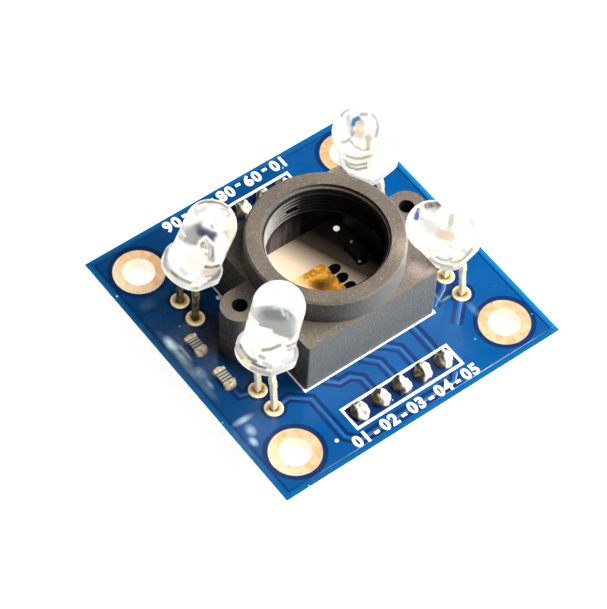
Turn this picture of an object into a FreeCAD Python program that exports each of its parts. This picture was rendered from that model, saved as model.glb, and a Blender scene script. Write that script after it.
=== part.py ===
import FreeCAD, Part
import math
import os

# Color sensor module: a square circuit board carries a light sensor in a clear package
# under a screw-thread lens holder, four clear 5 mm lamps that lean towards the lens axis,
# and two rows of header pins on the underside.
# Lengths are millimetres. The origin is the middle of the four mounting holes on the
# board's underside, +Z is the side that faces the target, +X runs along the header rows.

V = FreeCAD.Vector

# Board
BOARD_SIDE = 33.0
BOARD_THICKNESS = 1.6
COPPER = 0.05
MOUNT_PITCH = 25.4
MOUNT_HOLE_D = 3.2
MOUNT_PAD_D = 5.2

# Lens holder
HOLDER_SIDE = 15.6
HOLDER_BASE_HEIGHT = 7.0
HOLDER_CORNER_R = 0.3
COLLAR_D = 15.6
COLLAR_HEIGHT = 3.0
COLLAR_EDGE = 0.2
BORE_D = 12.0
LEAD_IN_D = 12.5
LEAD_IN_DEPTH = 0.4
CAVITY_SIDE = 14.1
CAVITY_HEIGHT = 6.0
CAVITY_CORNER_R = 0.6
EAR_PITCH = 20.0
EAR_WIDTH = 3.8
EAR_HOLE_D = 1.5

# Screws that hold the lens holder from beneath
SCREW_CORE_D = 1.4
SCREW_HEAD_D = 3.6
SCREW_HEAD_HEIGHT = 1.3
SCREW_REACH = 4.4
SCREW_POINT = 0.7
SCREW_SLOT_LENGTH = 1.9
SCREW_SLOT_WIDTH = 0.5
SCREW_SLOT_DEPTH = 0.7
SCREW_BOARD_HOLE_D = 2.2

# Sensor package
PACKAGE_WIDTH = 3.9
PACKAGE_LENGTH = 4.9
PACKAGE_HEIGHT = 1.45
PACKAGE_STANDOFF = 0.1
PACKAGE_DRAFT = 0.12
SENSOR_LEAD_PITCH = 1.27
SENSOR_LEADS_PER_SIDE = 4
SENSOR_LEAD_WIDTH = 0.42
SENSOR_LEAD_THICKNESS = 0.2
SENSOR_LEAD_INSET = 0.45
SENSOR_LEAD_SHOULDER = 0.3
SENSOR_LEAD_SLOPE = 0.25
SENSOR_LEAD_FOOT = 0.5
PADDLE_WIDTH = 2.6
PADDLE_LENGTH = 3.4
DIE_SIDE = 1.3
DIE_THICKNESS = 0.3
SOLDER_UNDER_FOOT = 0.06
SOLDER_TOE = 0.5
SOLDER_RISE = 0.16
LEAD_SKEW = 0.16
SOLDER_SPREAD = 0.126

# Chip parts: two resistors in a line beside the left lamps and a capacitor by the sensor
RESISTOR_LENGTH = 2.0
RESISTOR_WIDTH = 1.25
RESISTOR_HEIGHT = 0.5
RESISTOR_X = -13.27
RESISTOR_YS = (2.46, -2.2)
CAPACITOR_LENGTH = 2.0
CAPACITOR_WIDTH = 1.25
CAPACITOR_HEIGHT = 0.85
CAPACITOR_X = 5.9
CAPACITOR_Y = 2.1
TERMINAL_LENGTH = 0.35
TERMINAL_SKIN = 0.05
CHIP_FILLET = 0.35

# A chip part's solder slope: its top, and the height and reach of its knee, as shares
FILLET_CLIMB = 0.75
FILLET_KNEE_HEIGHT = 0.35
FILLET_KNEE_REACH = 0.3

# Lamps
LAMP_PAIR_X = 22.86
LAMP_PAIR_Y = 12.7
LAMP_LEAD_PITCH = 2.54
LAMP_PAD_D = 1.9
LAMP_PAD_HOLE_D = 0.9
LENS_D = 5.0
LENS_HEIGHT = 8.6
FLANGE_D = 5.9
FLANGE_HEIGHT = 1.0
FLANGE_FLAT = 2.6
LAMP_LEG = 0.5
LEG_STRAIGHT = 0.8
LEG_KINK_HEIGHT = 1.2
LEG_BEND_R = 0.6
LEG_STUB = 1.2
DAM_BAR_WIDTH = 0.8
DAM_BAR_LENGTH = 0.9
DAM_BAR_THICKNESS = 0.45
DAM_BAR_PLACE = 0.6
ANVIL_HEIGHT = 3.9
ANVIL_FLARE = 1.9
ANVIL_GAP = 0.35
CUP_BOSS_SIDE = 1.3
CUP_TOP_D = 1.0
CUP_BOTTOM_D = 0.55
CUP_DEPTH = 0.45
CUP_BOSS_HEIGHT = 0.8
LAMP_DIE_SIDE = 0.3
LAMP_DIE_THICKNESS = 0.12
LAMP_SOLDER_D = 1.7
LAMP_SOLDER_TIP_D = 0.85
LAMP_SOLDER_HEIGHT = 0.9

# Each lamp: name, side in x, side in y, head's offset from its pads in x and y, height
# of the flange above the board, lean towards +X and towards +Y in degrees
LAMPS = (
    ("front_left", -1, -1, 0.15, 0.57, 6.7, 16.1, 5.0),
    ("back_left", -1, 1, 0.32, 0.05, 6.4, 19.5, -3.2),
    ("front_right", 1, -1, -0.49, 0.57, 7.05, -31.3, -3.7),
    ("back_right", 1, 1, -0.31, 0.9, 6.0, -18.7, -1.4),
)

# Header rows
HEADER_PITCH = 2.54
HEADER_PINS = 5
HEADER_ROW_Y = 12.7
HEADER_HOLE_D = 1.0
PIN_SIDE = 0.64
PIN_TIP = 0.18
PIN_BELOW_STRIP = 3.8
PIN_ABOVE_BOARD = 0.8
STRIP_WIDTH = 2.5
STRIP_HEIGHT = 2.5
STRIP_NOTCH = 0.45
HEADER_JOINT_D = 1.9
HEADER_JOINT_TIP_D = 0.9
HEADER_JOINT_HEIGHT = 1.15

TOP = BOARD_THICKNESS
CONE_SIDES = 8
SAME_PLACE = 1e-6


def block(x, y, z, width, length, height):
    """A box centred on x and y that stands on z."""
    corner = V(x - width / 2, y - length / 2, z)
    return Part.makeBox(width, length, height, corner)


def rod(x, y, z, diameter, height):
    """An upright cylinder that stands on z."""
    return Part.makeCylinder(diameter / 2, height, V(x, y, z))


def ring_of_corners(x, y, z, diameter):
    """The corners of a few-sided ring, on a circle."""
    step = 2 * math.pi / CONE_SIDES
    radius = diameter / 2
    return [V(x + radius * math.cos(i * step), y + radius * math.sin(i * step), z) for i in range(CONE_SIDES)]


def tapered_block(x, y, z, bottom_d, top_d, height):
    """A few-sided cone that stands on z."""
    low = ring_of_corners(x, y, z, bottom_d)
    high = ring_of_corners(x, y, z + height, top_d)
    rings = [low[::-1], high]
    for i in range(CONE_SIDES):
        j = (i + 1) % CONE_SIDES
        rings.append([low[i], low[j], high[j], high[i]])
    return Part.Solid(Part.Shell([Part.Face(Part.Wire(outline(ring))) for ring in rings]))


def turned(edges, x=0.0, y=0.0):
    """A profile in the XZ plane turned about the upright axis at x and y."""
    face = Part.Face(Part.Wire(edges))
    solid = face.revolve(V(0, 0, 0), V(0, 0, 1), 360)
    solid.translate(V(x, y, 0))
    return solid


def outline(points):
    """The closed straight-sided edges through a list of points."""
    ends = points[1:] + points[:1]
    return [Part.makeLine(a, b) for a, b in zip(points, ends)]


def arc(start, middle, end):
    return Part.Arc(start, middle, end).toShape()


def bar(points, direction):
    """A straight-sided profile pushed along a direction."""
    return Part.Face(Part.Wire(outline(points))).extrude(direction)


def upright_edges(shape, half_x, half_y):
    """The upright edges of a shape at the corners of a rectangle."""
    found = []
    for edge in shape.Edges:
        a = edge.Vertexes[0].Point
        b = edge.Vertexes[-1].Point
        at_corner = abs(abs(a.x) - half_x) < SAME_PLACE and abs(abs(a.y) - half_y) < SAME_PLACE
        if at_corner and abs(a.z - b.z) > SAME_PLACE and V(a.x, a.y, b.z).isEqual(b, SAME_PLACE):
            found.append(edge)
    return found


def mount_places():
    half = MOUNT_PITCH / 2
    return [(sx * half, sy * half) for sx in (-1, 1) for sy in (-1, 1)]


def header_xs():
    first = -(HEADER_PINS - 1) / 2 * HEADER_PITCH
    return [first + i * HEADER_PITCH for i in range(HEADER_PINS)]


def lamp_pads(side_x, side_y):
    """The two lead holes of one lamp: the cathode's nearer the middle row, then the anode's."""
    x = side_x * LAMP_PAIR_X / 2
    y = side_y * LAMP_PAIR_Y / 2
    return [(x, y - LAMP_LEAD_PITCH / 2), (x, y + LAMP_LEAD_PITCH / 2)]


def all_lamp_pads():
    return [pad for lamp in LAMPS for pad in lamp_pads(lamp[1], lamp[2])]


def circuit_board():
    board = block(0, 0, 0, BOARD_SIDE, BOARD_SIDE, BOARD_THICKNESS)
    holes = [(x, y, MOUNT_HOLE_D + 2 * COPPER) for x, y in mount_places()]
    holes += [(x, y, LAMP_PAD_HOLE_D) for x, y in all_lamp_pads()]
    holes += [(side * EAR_PITCH / 2, 0, SCREW_BOARD_HOLE_D) for side in (-1, 1)]
    drills = [rod(x, y, 0, d, BOARD_THICKNESS) for x, y, d in holes]
    pin_places = [(x, side * HEADER_ROW_Y) for side in (-1, 1) for x in header_xs()]
    drills += [tapered_block(x, y, 0, HEADER_HOLE_D, HEADER_HOLE_D, BOARD_THICKNESS) for x, y in pin_places]
    return board.cut(drills)


def plated_hole(x, y, hole_d, pad_d):
    """A copper lining with a pad on both faces of the board, turned as one ring."""
    inner = hole_d / 2
    drilled = inner + COPPER
    pad = pad_d / 2
    profile = [
        V(inner, 0, -COPPER), V(pad, 0, -COPPER), V(pad, 0, 0), V(drilled, 0, 0),
        V(drilled, 0, TOP), V(pad, 0, TOP), V(pad, 0, TOP + COPPER), V(inner, 0, TOP + COPPER),
    ]
    return turned(outline(profile), x, y)


def lamp_pad(x, y):
    """A lamp's ring of copper round its hole on the top face."""
    return rod(x, y, TOP, LAMP_PAD_D, COPPER).cut(rod(x, y, TOP, LAMP_PAD_HOLE_D, COPPER))


def lens_holder():
    """A square base with two eared lugs, a round collar and a bore over an open cavity."""
    base = block(0, 0, TOP, HOLDER_SIDE, HOLDER_SIDE, HOLDER_BASE_HEIGHT)
    base = base.makeFillet(HOLDER_CORNER_R, upright_edges(base, HOLDER_SIDE / 2, HOLDER_SIDE / 2))
    solid = base
    for side in (-1, 1):
        x = side * EAR_PITCH / 2
        solid = solid.fuse(rod(x, 0, TOP, EAR_WIDTH, HOLDER_BASE_HEIGHT))
        solid = solid.fuse(block(x / 2, 0, TOP, abs(x), EAR_WIDTH, HOLDER_BASE_HEIGHT))
    collar = rod(0, 0, TOP, COLLAR_D, HOLDER_BASE_HEIGHT + COLLAR_HEIGHT)
    rim = [e for e in collar.Edges if e.Closed and e.CenterOfMass.z > TOP + HOLDER_BASE_HEIGHT]
    solid = solid.fuse(collar.makeChamfer(COLLAR_EDGE, rim)).removeSplitter()
    cavity = block(0, 0, TOP, CAVITY_SIDE, CAVITY_SIDE, CAVITY_HEIGHT)
    cavity = cavity.makeFillet(CAVITY_CORNER_R, upright_edges(cavity, CAVITY_SIDE / 2, CAVITY_SIDE / 2))
    rim_z = TOP + HOLDER_BASE_HEIGHT + COLLAR_HEIGHT
    bore = rod(0, 0, TOP, BORE_D, rim_z - TOP)
    lead_in = rod(0, 0, rim_z - LEAD_IN_DEPTH, LEAD_IN_D, LEAD_IN_DEPTH)
    ear_holes = [rod(side * EAR_PITCH / 2, 0, TOP, EAR_HOLE_D, HOLDER_BASE_HEIGHT) for side in (-1, 1)]
    return solid.cut([cavity, bore, lead_in] + ear_holes)


def holder_screw(x):
    """A flat-topped screw, head down, whose core reaches up through the board into an ear."""
    head = SCREW_HEAD_D / 2
    core = SCREW_CORE_D / 2
    tip = TOP + SCREW_REACH
    profile = [
        V(0, 0, tip), V(0, 0, -SCREW_HEAD_HEIGHT), V(head, 0, -SCREW_HEAD_HEIGHT),
        V(head, 0, 0), V(core, 0, 0), V(core, 0, tip - SCREW_POINT),
    ]
    screw = turned(outline(profile), x, 0)
    across = block(x, 0, -SCREW_HEAD_HEIGHT, SCREW_SLOT_LENGTH, SCREW_SLOT_WIDTH, SCREW_SLOT_DEPTH)
    along = block(x, 0, -SCREW_HEAD_HEIGHT, SCREW_SLOT_WIDTH, SCREW_SLOT_LENGTH, SCREW_SLOT_DEPTH)
    return screw.cut([across, along])


def sensor_lead_rows():
    first = -(SENSOR_LEADS_PER_SIDE - 1) / 2 * SENSOR_LEAD_PITCH
    return [first + i * SENSOR_LEAD_PITCH for i in range(SENSOR_LEADS_PER_SIDE)]


def lead_plane():
    """The height at which the leads leave the package: its middle."""
    return TOP + PACKAGE_STANDOFF + PACKAGE_HEIGHT / 2


def lead_toe():
    return PACKAGE_WIDTH / 2 + SENSOR_LEAD_SHOULDER + SENSOR_LEAD_SLOPE + SENSOR_LEAD_FOOT


def sensor_lead(side, y):
    """One gull-wing lead: level inside the package, sloping down outside, flat at the foot."""
    half = SENSOR_LEAD_THICKNESS / 2
    inside = PACKAGE_WIDTH / 2 - SENSOR_LEAD_INSET
    knee = PACKAGE_WIDTH / 2 + SENSOR_LEAD_SHOULDER
    heel = knee + SENSOR_LEAD_SLOPE
    foot = TOP + SOLDER_UNDER_FOOT
    middle = lead_plane()
    profile = [
        (inside, middle - half), (inside, middle + half), (knee, middle + half),
        (heel, foot + SENSOR_LEAD_THICKNESS), (lead_toe(), foot + SENSOR_LEAD_THICKNESS),
        (lead_toe(), foot), (heel - LEAD_SKEW, foot), (knee - LEAD_SKEW, middle - half),
    ]
    points = [V(side * x, y - SENSOR_LEAD_WIDTH / 2, z) for x, z in profile]
    return bar(points, V(0, SENSOR_LEAD_WIDTH, 0))


def sensor_solder(side, y):
    """The solder under one foot, with a small slope at the toe."""
    heel = PACKAGE_WIDTH / 2 + SENSOR_LEAD_SHOULDER + SENSOR_LEAD_SLOPE - SENSOR_LEAD_THICKNESS
    bed = TOP + SOLDER_UNDER_FOOT
    toe = lead_toe()
    profile = [
        (heel, TOP), (toe + SOLDER_TOE, TOP), (toe + SOLDER_TOE / 2, TOP + SOLDER_UNDER_FOOT),
        (toe, TOP + SOLDER_RISE), (toe, bed), (heel, bed),
    ]
    width = SENSOR_LEAD_WIDTH + SOLDER_SPREAD
    points = [V(side * x, y - width / 2, z) for x, z in profile]
    return bar(points, V(0, width, 0))


def die_paddle():
    z = lead_plane() - SENSOR_LEAD_THICKNESS / 2
    return block(0, 0, z, PADDLE_WIDTH, PADDLE_LENGTH, SENSOR_LEAD_THICKNESS)


def sensor_die():
    z = lead_plane() + SENSOR_LEAD_THICKNESS / 2
    return block(0, 0, z, DIE_SIDE, DIE_SIDE, DIE_THICKNESS)


def rectangle_at(z, width, length):
    half_x = width / 2
    half_y = length / 2
    points = [V(-half_x, -half_y, z), V(half_x, -half_y, z), V(half_x, half_y, z), V(-half_x, half_y, z)]
    return Part.Wire(outline(points))


def sensor_package(inner_parts):
    """A moulded clear block that narrows from its parting plane to its top and bottom."""
    bottom = TOP + PACKAGE_STANDOFF
    narrow_x = PACKAGE_WIDTH - 2 * PACKAGE_DRAFT
    narrow_y = PACKAGE_LENGTH - 2 * PACKAGE_DRAFT
    middle = rectangle_at(lead_plane(), PACKAGE_WIDTH, PACKAGE_LENGTH)
    lower = Part.makeLoft([rectangle_at(bottom, narrow_x, narrow_y), middle], True, True)
    upper = Part.makeLoft([middle, rectangle_at(bottom + PACKAGE_HEIGHT, narrow_x, narrow_y)], True, True)
    return lower.fuse(upper).cut(inner_parts)


def chip_part(x, y, width, length, height):
    """A ceramic chip along Y: its slab, its two end caps and their solder slopes."""
    slab = block(x, y, TOP + TERMINAL_SKIN, width - 2 * TERMINAL_SKIN,
                 length - 2 * TERMINAL_SKIN, height - 2 * TERMINAL_SKIN)
    caps = []
    slopes = []
    for side in (-1, 1):
        end = y + side * length / 2
        cap = block(x, end - side * TERMINAL_LENGTH / 2, TOP, width, TERMINAL_LENGTH, height)
        caps.append(cap.cut(slab))
        reach = side * CHIP_FILLET
        points = [V(x - width / 2, end, TOP), V(x - width / 2, end + reach, TOP),
                  V(x - width / 2, end + reach * FILLET_KNEE_REACH, TOP + height * FILLET_KNEE_HEIGHT),
                  V(x - width / 2, end, TOP + height * FILLET_CLIMB)]
        slopes.append(bar(points, V(width, 0, 0)))
    return slab, caps, slopes


def lamp_placement(lamp):
    """The place and lean of a lamp's head, whose own origin is the middle of its flange."""
    _, side_x, side_y, offset_x, offset_y, height, lean_x, lean_y = lamp
    place = V(side_x * LAMP_PAIR_X / 2 + offset_x, side_y * LAMP_PAIR_Y / 2 + offset_y, TOP + height)
    turn = FreeCAD.Rotation(V(1, 0, 0), -lean_y).multiply(FreeCAD.Rotation(V(0, 1, 0), lean_x))
    return FreeCAD.Placement(place, turn)


def cathode_inside():
    """The cathode's post in the lens: a flared anvil with the reflector cup in its boss."""
    half = LAMP_LEG / 2
    y = -LAMP_LEAD_PITCH / 2
    neck = ANVIL_HEIGHT - ANVIL_FLARE
    boss_bottom = ANVIL_HEIGHT - CUP_BOSS_HEIGHT
    edge = CUP_BOSS_SIDE / 2
    profile = [(y - half, 0), (y - half, ANVIL_HEIGHT), (edge, ANVIL_HEIGHT),
               (edge, boss_bottom), (y + half, neck), (y + half, 0)]
    plate = bar([V(-half, py, pz) for py, pz in profile], V(LAMP_LEG, 0, 0))
    boss = block(0, 0, boss_bottom, CUP_BOSS_SIDE, CUP_BOSS_SIDE, CUP_BOSS_HEIGHT)
    return plate.fuse(boss).removeSplitter().cut(cup_space())


def cup_space():
    """The reflector cup: a tapered pit in the top of the boss."""
    return tapered_block(0, 0, ANVIL_HEIGHT - CUP_DEPTH, CUP_BOTTOM_D, CUP_TOP_D, CUP_DEPTH)


def anode_inside():
    """The anode's post in the lens, with the slanted head that the bond wire lands on."""
    half = LAMP_LEG / 2
    y = LAMP_LEAD_PITCH / 2
    inner = CUP_BOSS_SIDE / 2 + ANVIL_GAP
    profile = [(y + half, 0), (y + half, ANVIL_HEIGHT), (inner, ANVIL_HEIGHT),
               (inner, ANVIL_HEIGHT - CUP_BOSS_HEIGHT), (y - half, ANVIL_HEIGHT - ANVIL_FLARE), (y - half, 0)]
    return bar([V(-half, py, pz) for py, pz in profile], V(LAMP_LEG, 0, 0))


def lamp_die():
    return block(0, 0, ANVIL_HEIGHT - CUP_DEPTH, LAMP_DIE_SIDE, LAMP_DIE_SIDE, LAMP_DIE_THICKNESS)


def lamp_phosphor():
    """The cone of phosphor that fills the cup over the die."""
    return cup_space().cut(lamp_die())


def lamp_lens(inner_parts):
    """The clear moulding: a flange with a flat, a round body and a dome."""
    radius = LENS_D / 2
    flange = FLANGE_D / 2
    centre = LENS_HEIGHT - radius
    middle = math.radians(45)
    edges = [
        Part.makeLine(V(0, 0, LENS_HEIGHT), V(0, 0, 0)),
        Part.makeLine(V(0, 0, 0), V(flange, 0, 0)),
        Part.makeLine(V(flange, 0, 0), V(flange, 0, FLANGE_HEIGHT)),
        Part.makeLine(V(flange, 0, FLANGE_HEIGHT), V(radius, 0, FLANGE_HEIGHT)),
        Part.makeLine(V(radius, 0, FLANGE_HEIGHT), V(radius, 0, centre)),
        arc(V(radius, 0, centre), V(radius * math.cos(middle), 0, centre + radius * math.sin(middle)),
            V(0, 0, LENS_HEIGHT)),
    ]
    flat = block(0, -FLANGE_FLAT - FLANGE_D / 2, 0, FLANGE_D, FLANGE_D, FLANGE_HEIGHT)
    return turned(edges).cut([flat] + inner_parts)


def bent_path(points, radius):
    """Straight runs through the points, joined by arcs that touch both runs."""
    edges = []
    start = points[0]
    for before, corner, after in zip(points, points[1:], points[2:]):
        back = (before - corner).normalize()
        ahead = (after - corner).normalize()
        half = back.getAngle(ahead) / 2
        reach = radius / math.tan(half)
        bisector = (back + ahead).normalize()
        centre = corner + bisector * (radius / math.sin(half))
        entry = corner + back * reach
        leave = corner + ahead * reach
        edges.append(Part.makeLine(start, entry))
        edges.append(arc(entry, centre - bisector * radius, leave))
        start = leave
    edges.append(Part.makeLine(start, points[-1]))
    return Part.Wire(edges)


def lamp_leg(placement, lead_side, pad):
    """One square leg from the flange down through its hole in the board."""
    y = lead_side * LAMP_LEAD_PITCH / 2
    axis = placement.Rotation.multVec(V(0, 0, 1))
    leaving = placement.multVec(V(0, y, 0))
    points = [leaving, leaving - axis * LEG_STRAIGHT,
              V(pad[0], pad[1], TOP + LEG_KINK_HEIGHT), V(pad[0], pad[1], -LEG_STUB)]
    half = LAMP_LEG / 2
    corners = [V(-half, y - half, 0), V(half, y - half, 0), V(half, y + half, 0), V(-half, y + half, 0)]
    section = Part.Wire(outline([placement.multVec(c) for c in corners]))
    leg = bent_path(points, LEG_BEND_R).makePipeShell([section], True, False)
    run = points[1] - points[2]
    middle = points[2] + run * DAM_BAR_PLACE
    bar_turn = FreeCAD.Rotation(V(1, 0, 0), V(0, 1, 0), run, "ZYX")
    dam = block(0, 0, -DAM_BAR_LENGTH / 2, DAM_BAR_THICKNESS, DAM_BAR_WIDTH, DAM_BAR_LENGTH)
    dam.Placement = FreeCAD.Placement(middle, bar_turn)
    return leg.fuse(dam)


def lamp_solder(pad, leg):
    """The cone of solder round a leg's end under the board."""
    cone = tapered_block(pad[0], pad[1], -LAMP_SOLDER_HEIGHT, LAMP_SOLDER_TIP_D, LAMP_SOLDER_D,
                         LAMP_SOLDER_HEIGHT)
    return cone.cut(leg)


def placed(shape, placement):
    copy = shape.copy()
    copy.Placement = placement
    return copy


def lamp_nodes(lamp):
    """The pieces of one lamp and the solder of its two leads."""
    placement = lamp_placement(lamp)
    cathode_pad, anode_pad = lamp_pads(lamp[1], lamp[2])
    inner = [cathode_inside(), anode_inside(), lamp_phosphor(), lamp_die()]
    cathode_leg = lamp_leg(placement, -1, cathode_pad)
    anode_leg = lamp_leg(placement, 1, anode_pad)
    name = "lamp_" + lamp[0]
    nodes = {
        name + "_lens": placed(lamp_lens(inner), placement),
        name + "_cathode": placed(inner[0], placement).fuse(cathode_leg).removeSplitter(),
        name + "_anode": placed(inner[1], placement).fuse(anode_leg).removeSplitter(),
        name + "_phosphor": placed(inner[2], placement),
        name + "_die": placed(inner[3], placement),
    }
    solder = [lamp_solder(cathode_pad, cathode_leg), lamp_solder(anode_pad, anode_leg)]
    return nodes, solder


def header_pin(x, y):
    """A square pin with tapered ends, from under the strip to above the board."""
    bottom = -STRIP_HEIGHT - PIN_BELOW_STRIP
    height = TOP + PIN_ABOVE_BOARD - bottom
    pin = block(x, y, bottom, PIN_SIDE, PIN_SIDE, height)
    ends = [e for e in pin.Edges if abs(e.Vertexes[0].Z - e.Vertexes[1].Z) < SAME_PLACE]
    return pin.makeChamfer(PIN_TIP, ends)


def header_strip(y, pins):
    """A moulded strip with a notch on both sides between neighbouring pins."""
    half = STRIP_WIDTH / 2
    inset = half - STRIP_NOTCH
    near = []
    far = []
    for x in header_xs():
        left = x - HEADER_PITCH / 2
        right = x + HEADER_PITCH / 2
        near += [V(left, y - inset, 0), V(left + STRIP_NOTCH, y - half, 0), V(right - STRIP_NOTCH, y - half, 0)]
        far += [V(left, y + inset, 0), V(left + STRIP_NOTCH, y + half, 0), V(right - STRIP_NOTCH, y + half, 0)]
    end = header_xs()[-1] + HEADER_PITCH / 2
    points = near + [V(end, y - inset, 0), V(end, y + inset, 0)] + far[::-1]
    return bar(points, V(0, 0, -STRIP_HEIGHT)).cut(pins)


def header_joint(x, y, pin):
    """A cone of solder that covers a pin's upper end."""
    cone = tapered_block(x, y, TOP, HEADER_JOINT_D, HEADER_JOINT_TIP_D, HEADER_JOINT_HEIGHT)
    return cone.cut(pin)


def model():
    """Every node of the module by name."""
    nodes = {}
    nodes["circuit_board"] = circuit_board()
    nodes["mounting_hole_linings"] = Part.makeCompound(
        [plated_hole(x, y, MOUNT_HOLE_D, MOUNT_PAD_D) for x, y in mount_places()])
    nodes["lamp_pads"] = Part.makeCompound([lamp_pad(x, y) for x, y in all_lamp_pads()])
    nodes["lens_holder"] = lens_holder()
    nodes["holder_screws"] = Part.makeCompound([holder_screw(side * EAR_PITCH / 2) for side in (-1, 1)])

    sides = [(side, y) for side in (-1, 1) for y in sensor_lead_rows()]
    leads = [sensor_lead(side, y) for side, y in sides]
    nodes["sensor_package"] = sensor_package(leads + [die_paddle(), sensor_die()])
    nodes["sensor_leads"] = Part.makeCompound(leads)
    nodes["sensor_paddle"] = die_paddle()
    nodes["sensor_die"] = sensor_die()
    nodes["sensor_solder"] = Part.makeCompound([sensor_solder(side, y) for side, y in sides])

    chips = [("lamp_resistor_back", RESISTOR_X, RESISTOR_YS[0], RESISTOR_WIDTH, RESISTOR_LENGTH, RESISTOR_HEIGHT),
             ("lamp_resistor_front", RESISTOR_X, RESISTOR_YS[1], RESISTOR_WIDTH, RESISTOR_LENGTH, RESISTOR_HEIGHT),
             ("supply_capacitor", CAPACITOR_X, CAPACITOR_Y, CAPACITOR_WIDTH, CAPACITOR_LENGTH, CAPACITOR_HEIGHT)]
    slopes = []
    for name, x, y, width, length, height in chips:
        slab, caps, chip_slopes = chip_part(x, y, width, length, height)
        nodes[name] = slab
        nodes[name + "_terminals"] = Part.makeCompound(caps)
        slopes += chip_slopes
    nodes["chip_part_solder"] = Part.makeCompound(slopes)

    lamp_joints = []
    for lamp in LAMPS:
        lamp_parts, solder = lamp_nodes(lamp)
        nodes.update(lamp_parts)
        lamp_joints += solder
    nodes["lamp_solder"] = Part.makeCompound(lamp_joints)

    for name, side in (("front", -1), ("back", 1)):
        y = side * HEADER_ROW_Y
        pins = [header_pin(x, y) for x in header_xs()]
        nodes["header_strip_" + name] = header_strip(y, pins)
        nodes["header_pins_" + name] = Part.makeCompound(pins)
        joints = [header_joint(x, y, pin) for x, pin in zip(header_xs(), pins)]
        nodes["header_solder_" + name] = Part.makeCompound(joints)
    return nodes


os.makedirs("parts", exist_ok=True)
for node_name, shape in model().items():
    shape.exportStep("parts/" + node_name + ".step")
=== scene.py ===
import math
from contextlib import contextmanager

import bmesh
import bpy
from bpy.props import FloatProperty, FloatVectorProperty, IntProperty, PointerProperty
from mathutils import Matrix, Vector, noise


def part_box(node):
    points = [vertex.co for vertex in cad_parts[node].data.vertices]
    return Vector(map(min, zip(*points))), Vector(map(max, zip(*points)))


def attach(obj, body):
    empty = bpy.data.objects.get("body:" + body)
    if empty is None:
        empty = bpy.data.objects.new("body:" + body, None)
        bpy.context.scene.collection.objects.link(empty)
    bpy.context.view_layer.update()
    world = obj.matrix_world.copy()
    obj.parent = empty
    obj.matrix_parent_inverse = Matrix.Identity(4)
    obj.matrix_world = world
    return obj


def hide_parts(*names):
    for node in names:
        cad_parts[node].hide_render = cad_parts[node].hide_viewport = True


bl_info = {
    "name": "Color sensor module",
    "version": (1, 0, 0),
    "blender": (4, 5, 0),
    "location": "3D View > Sidebar > Sensor",
    "description": "Dresses the solids of a color sensor module: copper, print, lamps, solder and finishes",
    "category": "Object",
}

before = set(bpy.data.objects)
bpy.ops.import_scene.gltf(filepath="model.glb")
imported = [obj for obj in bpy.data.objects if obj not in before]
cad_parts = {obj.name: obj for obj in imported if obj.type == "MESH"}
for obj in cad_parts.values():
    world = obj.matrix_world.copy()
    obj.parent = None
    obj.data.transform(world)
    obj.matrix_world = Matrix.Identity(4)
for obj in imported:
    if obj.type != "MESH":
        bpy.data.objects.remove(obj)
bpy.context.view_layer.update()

MM = 0.001
BODY = "root"
BOARD_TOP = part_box("circuit_board")[1].z
BOARD_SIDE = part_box("circuit_board")[1].x * 2
HOLDER_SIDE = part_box("lens_holder")[1].y * 2
HOLDER_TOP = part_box("lens_holder")[1].z
PIN_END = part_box("header_pins_front")[0].z
MOUNT_REACH = 12.7 * MM
LAMP_REACH = (11.43 * MM, 6.35 * MM)
LEAD_PITCH = 2.54 * MM
HEADER_ROW = 12.7 * MM
SENSOR_PITCH = 1.27 * MM
HEADER_PINS = 5
BORE_RADIUS = 6.0 * MM
CAVITY_HALF = 7.1 * MM
EAR_REACH = 10.0 * MM
EAR_BORE = 0.75 * MM
PIN_XS = [(i - (HEADER_PINS - 1) / 2) * LEAD_PITCH for i in range(HEADER_PINS)]

# The camera that was fitted to the board's corners, and the photograph's frame in pixels
CAMERA_RIGHT = Vector((0.79773, -0.60174, 0.03921))
CAMERA_UP = Vector((0.47672, 0.66913, 0.57010))
CAMERA_BACK = Vector((-0.36928, -0.43609, 0.82064))
CAMERA_SPOT = Vector((-104.921, -121.324, 228.878)) * MM + Vector((0, 0, BOARD_TOP))
FOCAL_LENGTH = 169.8
SENSOR_WIDTH = 36.0
PHOTO_WIDTH = 607
PHOTO_MIDDLE = (303.5, 304.5)
PHOTO_FOCAL = FOCAL_LENGTH / SENSOR_WIDTH * PHOTO_WIDTH

# Each lamp: name, side in x and y, head's offset from its pads in x and y (mm), height of
# its flange above the board (mm), lean towards +X and towards +Y (degrees)
LAMPS = (
    ("front_left", -1, -1, 0.15, 0.57, 6.7, 16.1, 5.0),
    ("back_left", -1, 1, 0.32, 0.05, 6.4, 19.5, -3.2),
    ("front_right", 1, -1, -0.49, 0.57, 7.05, -31.3, -3.7),
    ("back_right", 1, 1, -0.31, 0.9, 6.0, -18.7, -1.4),
)


# Tools for modelling

def deselect():
    """Leaves nothing selected."""
    bpy.ops.object.select_all(action="DESELECT")


def only(piece):
    """Selects one piece alone and makes it the active one."""
    deselect()
    piece.select_set(True)
    bpy.context.view_layer.objects.active = piece


def begin(name):
    """Names the piece that was just made."""
    piece = bpy.context.object
    piece.name = name
    piece.data.name = name
    return piece


@contextmanager
def editing(piece):
    """Edit mode on one piece, with nothing selected to start with."""
    only(piece)
    bpy.ops.object.mode_set(mode="EDIT")
    bpy.ops.mesh.select_all(action="DESELECT")
    yield
    bpy.ops.object.mode_set(mode="OBJECT")


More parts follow.
